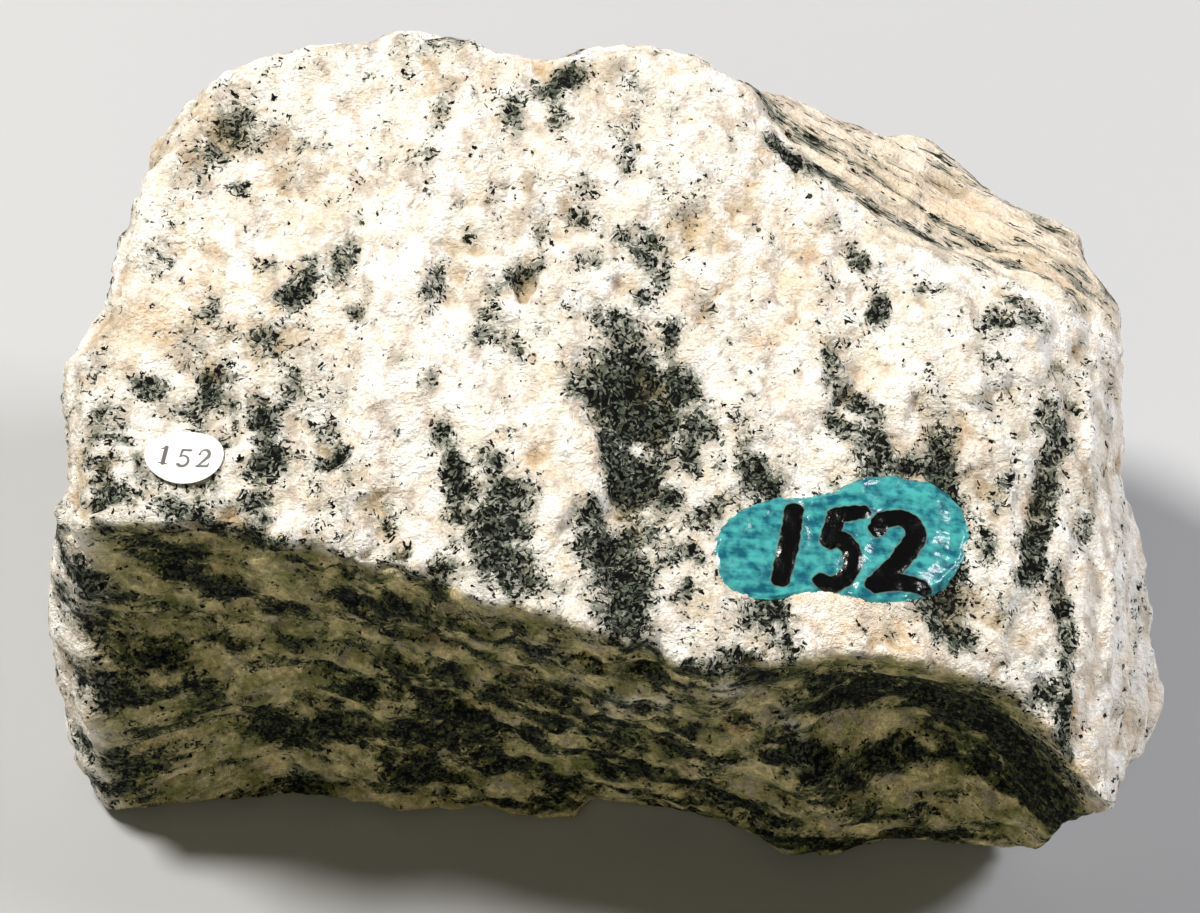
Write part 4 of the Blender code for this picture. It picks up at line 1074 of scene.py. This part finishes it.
# sRGB hex to linear: c / 12.92 below 0.04045, else ((c + 0.055) / 1.055)^2.4.
def hexColour(text):
    values = [int(text[i : i + 2], 16) / 255 for i in (1, 3, 5)]
    return (*[v / 12.92 if v <= 0.04045 else ((v + 0.055) / 1.055) ** 2.4 for v in values], 1.0)


# Fills a node's sockets, by name or number: with links, sRGB hex colours or values. Map Range has
# 0 value, 1 and 2 from, 3 and 4 to; Mix has 4 and 5 for vectors, 6 and 7 for colours.
def fillSockets(tree, node, sockets):
    for socket, value in sockets.items():
        if isinstance(value, bpy.types.NodeSocket):
            tree.links.new(value, node.inputs[socket])
        else:
            value = hexColour(value) if isinstance(value, str) else value
            node.inputs[socket].default_value = value


# A new material, a function that adds a node to it and gives back one of its outputs or all of
# them, and one that fills its shader.
def newMaterial(name):
    made = bpy.data.materials.new(name)
    made.use_nodes = True
    tree = made.node_tree

    def add(kind, sockets, output=0, **settings):
        node = tree.nodes.new("ShaderNode" + kind)
        for setting, value in settings.items():
            setattr(node, setting, value)
        fillSockets(tree, node, sockets)
        return node.outputs if output is None else node.outputs[output]

    def finish(**sockets):
        named = {name.replace("_", " "): value for name, value in sockets.items()}
        fillSockets(tree, tree.nodes["Principled BSDF"], named)
        return made

    return add, finish


timesPlus = {"operation": "MULTIPLY_ADD"}
times = {"operation": "MULTIPLY"}
ofColours = {"output": 2, "data_type": "RGBA"}


# Diorite: cream feldspar with a little grey quartz, speckled and streaked with near-black
# hornblende and biotite, broken open and never polished. Sugary, matt, with small glints.
def dioriteMaterial():
    add, finish = newMaterial("broken_diorite")
    darkness, rust, hollow, bevel, oldAndShaded = (
        add("Attribute", {}, "Fac", attribute_name=name)
        for name in ("darkness", "rust", "hollow", "bevel", "weatheredAndShaded")
    )
    place = add("TexCoord", {}, "Object")
    metreToMm = (1000, 1000, 1000)
    millimetres = add("Mapping", {"Vector": place, "Scale": metreToMm})
    drawnOut = add("Mapping", {"Vector": place, "Scale": (1000, 620, 1150)})
    # on the bevel everything is drawn out along its edge
    turn = tuple(Matrix(creaseAxes().tolist()).to_euler())
    crease = add("Mapping", {"Vector": place, "Rotation": turn, "Scale": metreToMm})
    streaked = add("Mapping", {"Vector": crease, "Scale": (0.26, 1.5, 1.5)})
    drawn = add("MapRange", {0: bevel, 1: 0.45, 2: 0.55})
    placed = add("Mix", {"Factor": drawn, 4: millimetres, 5: streaked}, 1, data_type="VECTOR")
    # crumpled flakes with ragged outlines: places are pushed about by 1 mm waves and 0.2 mm ones,
    # less where the face is weathered to grains
    wavy = add("TexNoise", {"Vector": placed, "Scale": 0.75, "Detail": 0.0}, "Color")
    sway = add("Math", {0: oldAndShaded, 1: -0.9, 2: 1.1}, **timesPlus)
    bent = add("VectorMath", {0: wavy, 1: sway, 2: placed}, **timesPlus)
    ragged = add("TexNoise", {"Vector": bent, "Scale": 2.8, "Detail": 1.0}, "Color")
    pushed = add("VectorMath", {0: ragged, 1: (0.45, 0.45, 0.45), 2: bent}, **timesPlus)
    # crystals of 0.3 and 0.7 mm, each with three draws of its own
    small = add("TexVoronoi", {"Vector": pushed, "Scale": 3.1}, "Color")
    middling = add("TexVoronoi", {"Vector": pushed, "Scale": 1.5}, "Color")
    chance = add("SeparateColor", {"Color": small}, None)
    middleChance = add("SeparateColor", {"Color": middling}, None)
    lot = add("Math", {0: middleChance[0], 1: 0.7, 2: chance[0]}, **timesPlus)
    # share of dark crystals: darkness * (3.5 * clumps - 0.75), and stray ones
    clumps = add("TexNoise", {"Vector": drawnOut, "Scale": 0.62, "Detail": 3.0, "Roughness": 0.6})
    spread = add("Math", {0: clumps, 1: 3.5, 2: -0.75}, **timesPlus)
    share = add("Math", {0: darkness, 1: spread, 2: 0.0}, use_clamp=True, **timesPlus)
    share = add("MapRange", {0: share, 1: 0.035})
    stray = add("MapRange", {0: clumps, 1: 0.60, 2: 0.80, 3: 0.003, 4: 0.45})
    share = add("Math", {0: share, 1: stray}, operation="MAXIMUM")
    # a share s of the lots, which add up two draws, is below the root of 1.4 s (1 + 0.6 s)
    limit = add("Math", {0: share, 1: 0.84, 2: 1.4}, **timesPlus)
    limit = add("Math", {0: share, 1: limit}, **times)
    limit = add("Math", {0: limit}, operation="SQRT")
    over = add("Math", {0: limit, 1: lot}, operation="SUBTRACT")
    # weathered crystals end less sharply
    soft = add("Math", {0: oldAndShaded, 1: 0.14, 2: 0.05}, **timesPlus)
    dark = add("MapRange", {0: over, 1: -0.03, 2: soft})
    # pale crystals are chalky white to cream, in clouds
    cream = add("TexNoise", {"Vector": millimetres, "Scale": 0.3, "Detail": 3.0, "Roughness": 0.6})
    cream = add("MapRange", {0: cream, 1: 0.42, 2: 0.60})
    pale = add("Mix", {"Factor": cream, 6: "#fcfaf5", 7: "#ede4d8"}, **ofColours)
    # buff and rusty stain, patchy at 2 to 4 mm
    stain = add("TexNoise", {"Vector": millimetres, "Scale": 0.36, "Detail": 4.0, "Roughness": 0.7})
    stain = add("Math", {0: rust, 1: 0.22, 2: stain}, **timesPlus)
    stain = add("MapRange", {0: stain, 1: 0.52, 2: 0.80, 4: 0.8})
    # the front face is beige with grey-green patches, partly weathering and partly painted shade,
    # as that face lies in shade; the bevel is tan
    beige = add("Math", {0: oldAndShaded, 1: 0.8}, **times)
    moss = add("TexNoise", {"Vector": drawnOut, "Scale": 0.24, "Detail": 4.0, "Roughness": 0.66})
    moss = add("MapRange", {0: moss, 1: 0.42, 2: 0.62, 4: 0.85})
    moss = add("Math", {0: moss, 1: oldAndShaded}, **times)
    tan = add("Math", {0: bevel, 1: 0.62}, **times)
    # smoky patches of quartz
    smoke = add("TexNoise", {"Vector": drawnOut, "Scale": 0.42, "Detail": 2.0, "Roughness": 0.55})
    smoke = add("MapRange", {0: smoke, 1: 0.53, 2: 0.68, 4: 0.75})
    # grey-green tinge of the pale crystals that lie among dark ones
    tinge = add("Math", {0: chance[1], 1: 0.7, 2: 0.3}, **timesPlus)
    around = add("Math", {0: darkness, 1: 0.16, 2: share}, **timesPlus)
    tinge = add("Math", {0: around, 1: tinge}, **times)
    tinge = add("MapRange", {0: tinge, 2: 0.3, 4: 0.94})
    # on the front face the tinge is darker: painted shade
    haze = add("Mix", {"Factor": oldAndShaded, 6: "#84877b", 7: "#4a552d"}, **ofColours)
    layers = [
        (stain, "#dbbd92"), (beige, "#efdb93"), (moss, "#757c3c"), (tan, "#ecd9bf"),
        (smoke, "#bfb09f"), (tinge, haze),
    ]
    for amount, tint in layers:
        pale = add("Mix", {"Factor": amount, 6: pale, 7: tint}, **ofColours)
    # each pale crystal has its own tone; on the front face the tones spread wider and lower, partly
    # painted shade
    least = add("Math", {0: oldAndShaded, 1: -0.34, 2: 0.84}, **timesPlus)
    shade = add("Math", {0: middleChance[1], 1: 0.8, 2: chance[2]}, **timesPlus)
    shade = add("MapRange", {0: shade, 2: 1.8, 3: least, 4: 1.14})
    pale = add("Mix", {"Factor": 1.0, 6: pale, 7: shade}, blend_type="MULTIPLY", **ofColours)
    # most dark crystals are near black, some catch the light as grey-green
    most = add("Math", {0: oldAndShaded, 1: -0.6, 2: 1.0}, **timesPlus)
    glint = add("MapRange", {0: chance[2], 1: 0.54, 4: most})
    black = add("Mix", {"Factor": glint, 6: "#020302", 7: "#666e5f"}, **ofColours)
    colour = add("Mix", {"Factor": dark, 6: pale, 7: black}, **ofColours)
    # darker and warmer where the relief is low
    reliefLowShare = add("MapRange", {0: hollow, 1: 0.6})
    reliefLowTint = add("Mix", {"Factor": reliefLowShare, 6: "#ffffff", 7: "#d3c3a8"}, **ofColours)
    colour = add("Mix", {"Factor": 1.0, 6: colour, 7: reliefLowTint}, blend_type="MULTIPLY", **ofColours)
    roughness = add("MapRange", {0: chance[1], 3: 0.38, 4: 0.8})
    # sugary break: grit of 0.7 mm and finer
    grit = add("TexNoise", {"Vector": millimetres, "Scale": 1.4, "Detail": 3.0, "Roughness": 0.68})
    bump = add("Bump", {"Height": grit, "Strength": 0.8, "Distance": 0.0011})
    return finish(
        Base_Color=colour, Roughness=roughness, IOR=1.54, Specular_IOR_Level=0.1, Normal=bump
    )


# Sticker paper: uncoated white wood-free paper, matt, faintly fibrous, edge a little grubby.
def paperMaterial():
    add, finish = newMaterial("sticker_paper")
    place = add("TexCoord", {}, "Object")
    ink, edge = (add("Attribute", {}, "Fac", attribute_name=name) for name in ("ink", "edge"))
    fibres = add("TexNoise", {"Vector": place, "Scale": 2600.0, "Detail": 3.0})
    grubby = add("MapRange", {0: edge, 1: 0.9, 4: 0.5})
    white = add("Mix", {"Factor": grubby, 6: "#fbfaf7", 7: "#d8d2c6"}, **ofColours)
    spread = add("Math", {0: fibres, 1: 0.05, 2: ink}, **timesPlus)
    printed = add("MapRange", {0: spread, 2: 0.075, 3: 0.92, 4: 0.0})
    colour = add("Mix", {"Factor": printed, 6: white, 7: "#2b2a2c"}, **ofColours)
    bump = add("Bump", {"Height": fibres, "Strength": 0.25, "Distance": 0.00005})
    return finish(Base_Color=colour, Roughness=0.62, Normal=bump)


# Hobby enamel, brushed on thick: turquoise, glossy, with brush drags, and black digits on it.
def enamelMaterial():
    add, finish = newMaterial("turquoise_enamel")
    place = add("TexCoord", {}, "Object")
    ink = add("Attribute", {}, "Fac", attribute_name="ink")
    alongBrush = {"Rotation": (0, 0, 0.12), "Scale": (240, 1500, 800)}
    drag = add("Mapping", {"Vector": place, **alongBrush})
    drags = add("TexNoise", {"Vector": drag, "Scale": 0.8, "Detail": 3.0, "Roughness": 0.6})
    mottle = add("TexNoise", {"Vector": place, "Scale": 900.0, "Detail": 3.0})
    tone = add("Math", {0: drags, 1: 0.6, 2: mottle}, **timesPlus)
    tone = add("MapRange", {0: tone, 1: 0.64, 2: 0.96})
    blue = add("Mix", {"Factor": tone, 6: "#14586a", 7: "#45a3a2"}, **ofColours)
    # the turquoise has dried to a dull brownish line along the black
    rimmed = add("MapRange", {0: ink, 1: 0.06, 2: 0.22, 3: 0.55, 4: 0.0})
    blue = add("Mix", {"Factor": rimmed, 6: blue, 7: "#6f7a66"}, **ofColours)
    painted = add("MapRange", {0: ink, 1: -0.04, 2: 0.08, 3: 1.0, 4: 0.0})
    colour = add("Mix", {"Factor": painted, 6: blue, 7: "#060607"}, **ofColours)
    height = add("Math", {0: drags, 1: 0.5, 2: mottle}, **timesPlus)
    bump = add("Bump", {"Height": height, "Strength": 0.7, "Distance": 0.00016})
    return finish(
        Base_Color=colour, Roughness=0.22, IOR=1.5, Specular_IOR_Level=0.35, Normal=bump
    )


def dress(piece, node, material):
    piece.data.materials.append(material)
    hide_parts(node)
    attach(piece, "root")


studio = {
    "floorColour": "#b4b6b9",
    "floorHalf": 3.0,
    "world": 0.055,
    "worldColour": "#fbf8f0",
    # place in metres, width, watts, colour
    "lamps": [
        ((-0.45, 0.20, 0.80), 0.20, 10.9, "#fffaf2"),
        ((0.62, 0.06, 0.56), 0.24, 4.8, "#fbfaff"),
        ((-0.1, -0.9, 0.6), 0.9, 1.9, "#f6eec4"),
    ],
}


def buildStudio():
    half = studio["floorHalf"] / mm
    corners = [(-half, -half, 0), (half, -half, 0), (half, half, 0), (-half, half, 0)]
    floor = meshObject("floor", corners, [(0, 1, 2, 3)], False)
    finish = newMaterial("plain_floor")[1]
    floor.data.materials.append(finish(Base_Color=studio["floorColour"], Roughness=0.85))
    world = bpy.data.worlds.new("studio")
    world.use_nodes = True
    light = {"Color": studio["worldColour"], "Strength": studio["world"]}
    fillSockets(world.node_tree, world.node_tree.nodes["Background"], light)
    bpy.context.scene.world = world
    target = np.array([0, 0, 0.03])
    for number, (spot, width, watts, tint) in enumerate(studio["lamps"]):
        light = bpy.data.lights.new(f"softbox_{number}", "AREA")
        light.shape, light.size, light.energy = "DISK", width, watts
        light.color = hexColour(tint)[:3]
        lamp = bpy.data.objects.new(f"softbox_{number}", light)
        lamp.location = spot
        lamp.rotation_euler = aimed(target - np.array(spot))
        bpy.context.scene.collection.objects.link(lamp)


# Turn that points an object's -Z along a direction, with its X level.
def aimed(way):
    return Vector(way).to_track_quat("-Z", "Y").to_euler()


def buildCamera():
    data = bpy.data.cameras.new("view")
    point = (np.array(sight["point"]) + np.array(sight["centring"])) * mm
    back = np.array([0, -sightCos, sightSin]) * sight["distance"] * mm
    data.sensor_width = 36.0
    data.sensor_fit = "HORIZONTAL"
    data.lens = 36.0 * sight["distance"] / (1200 * sight["unit"])
    data.clip_start, data.clip_end = 0.01, 20.0
    camera = bpy.data.objects.new("view", data)
    camera.location = point + back
    camera.rotation_euler = (math.pi / 2 - sight["elevation"], 0, 0)
    bpy.context.scene.collection.objects.link(camera)
    bpy.context.scene.camera = camera


dress(buildStone(), "stone", dioriteMaterial())
dress(buildLabel(), "paper_label", paperMaterial())
dress(buildPaint(), "paint_patch", enamelMaterial())
buildStudio()
buildCamera()
bpy.context.scene.view_settings.view_transform = "Standard"

print("scene ready")
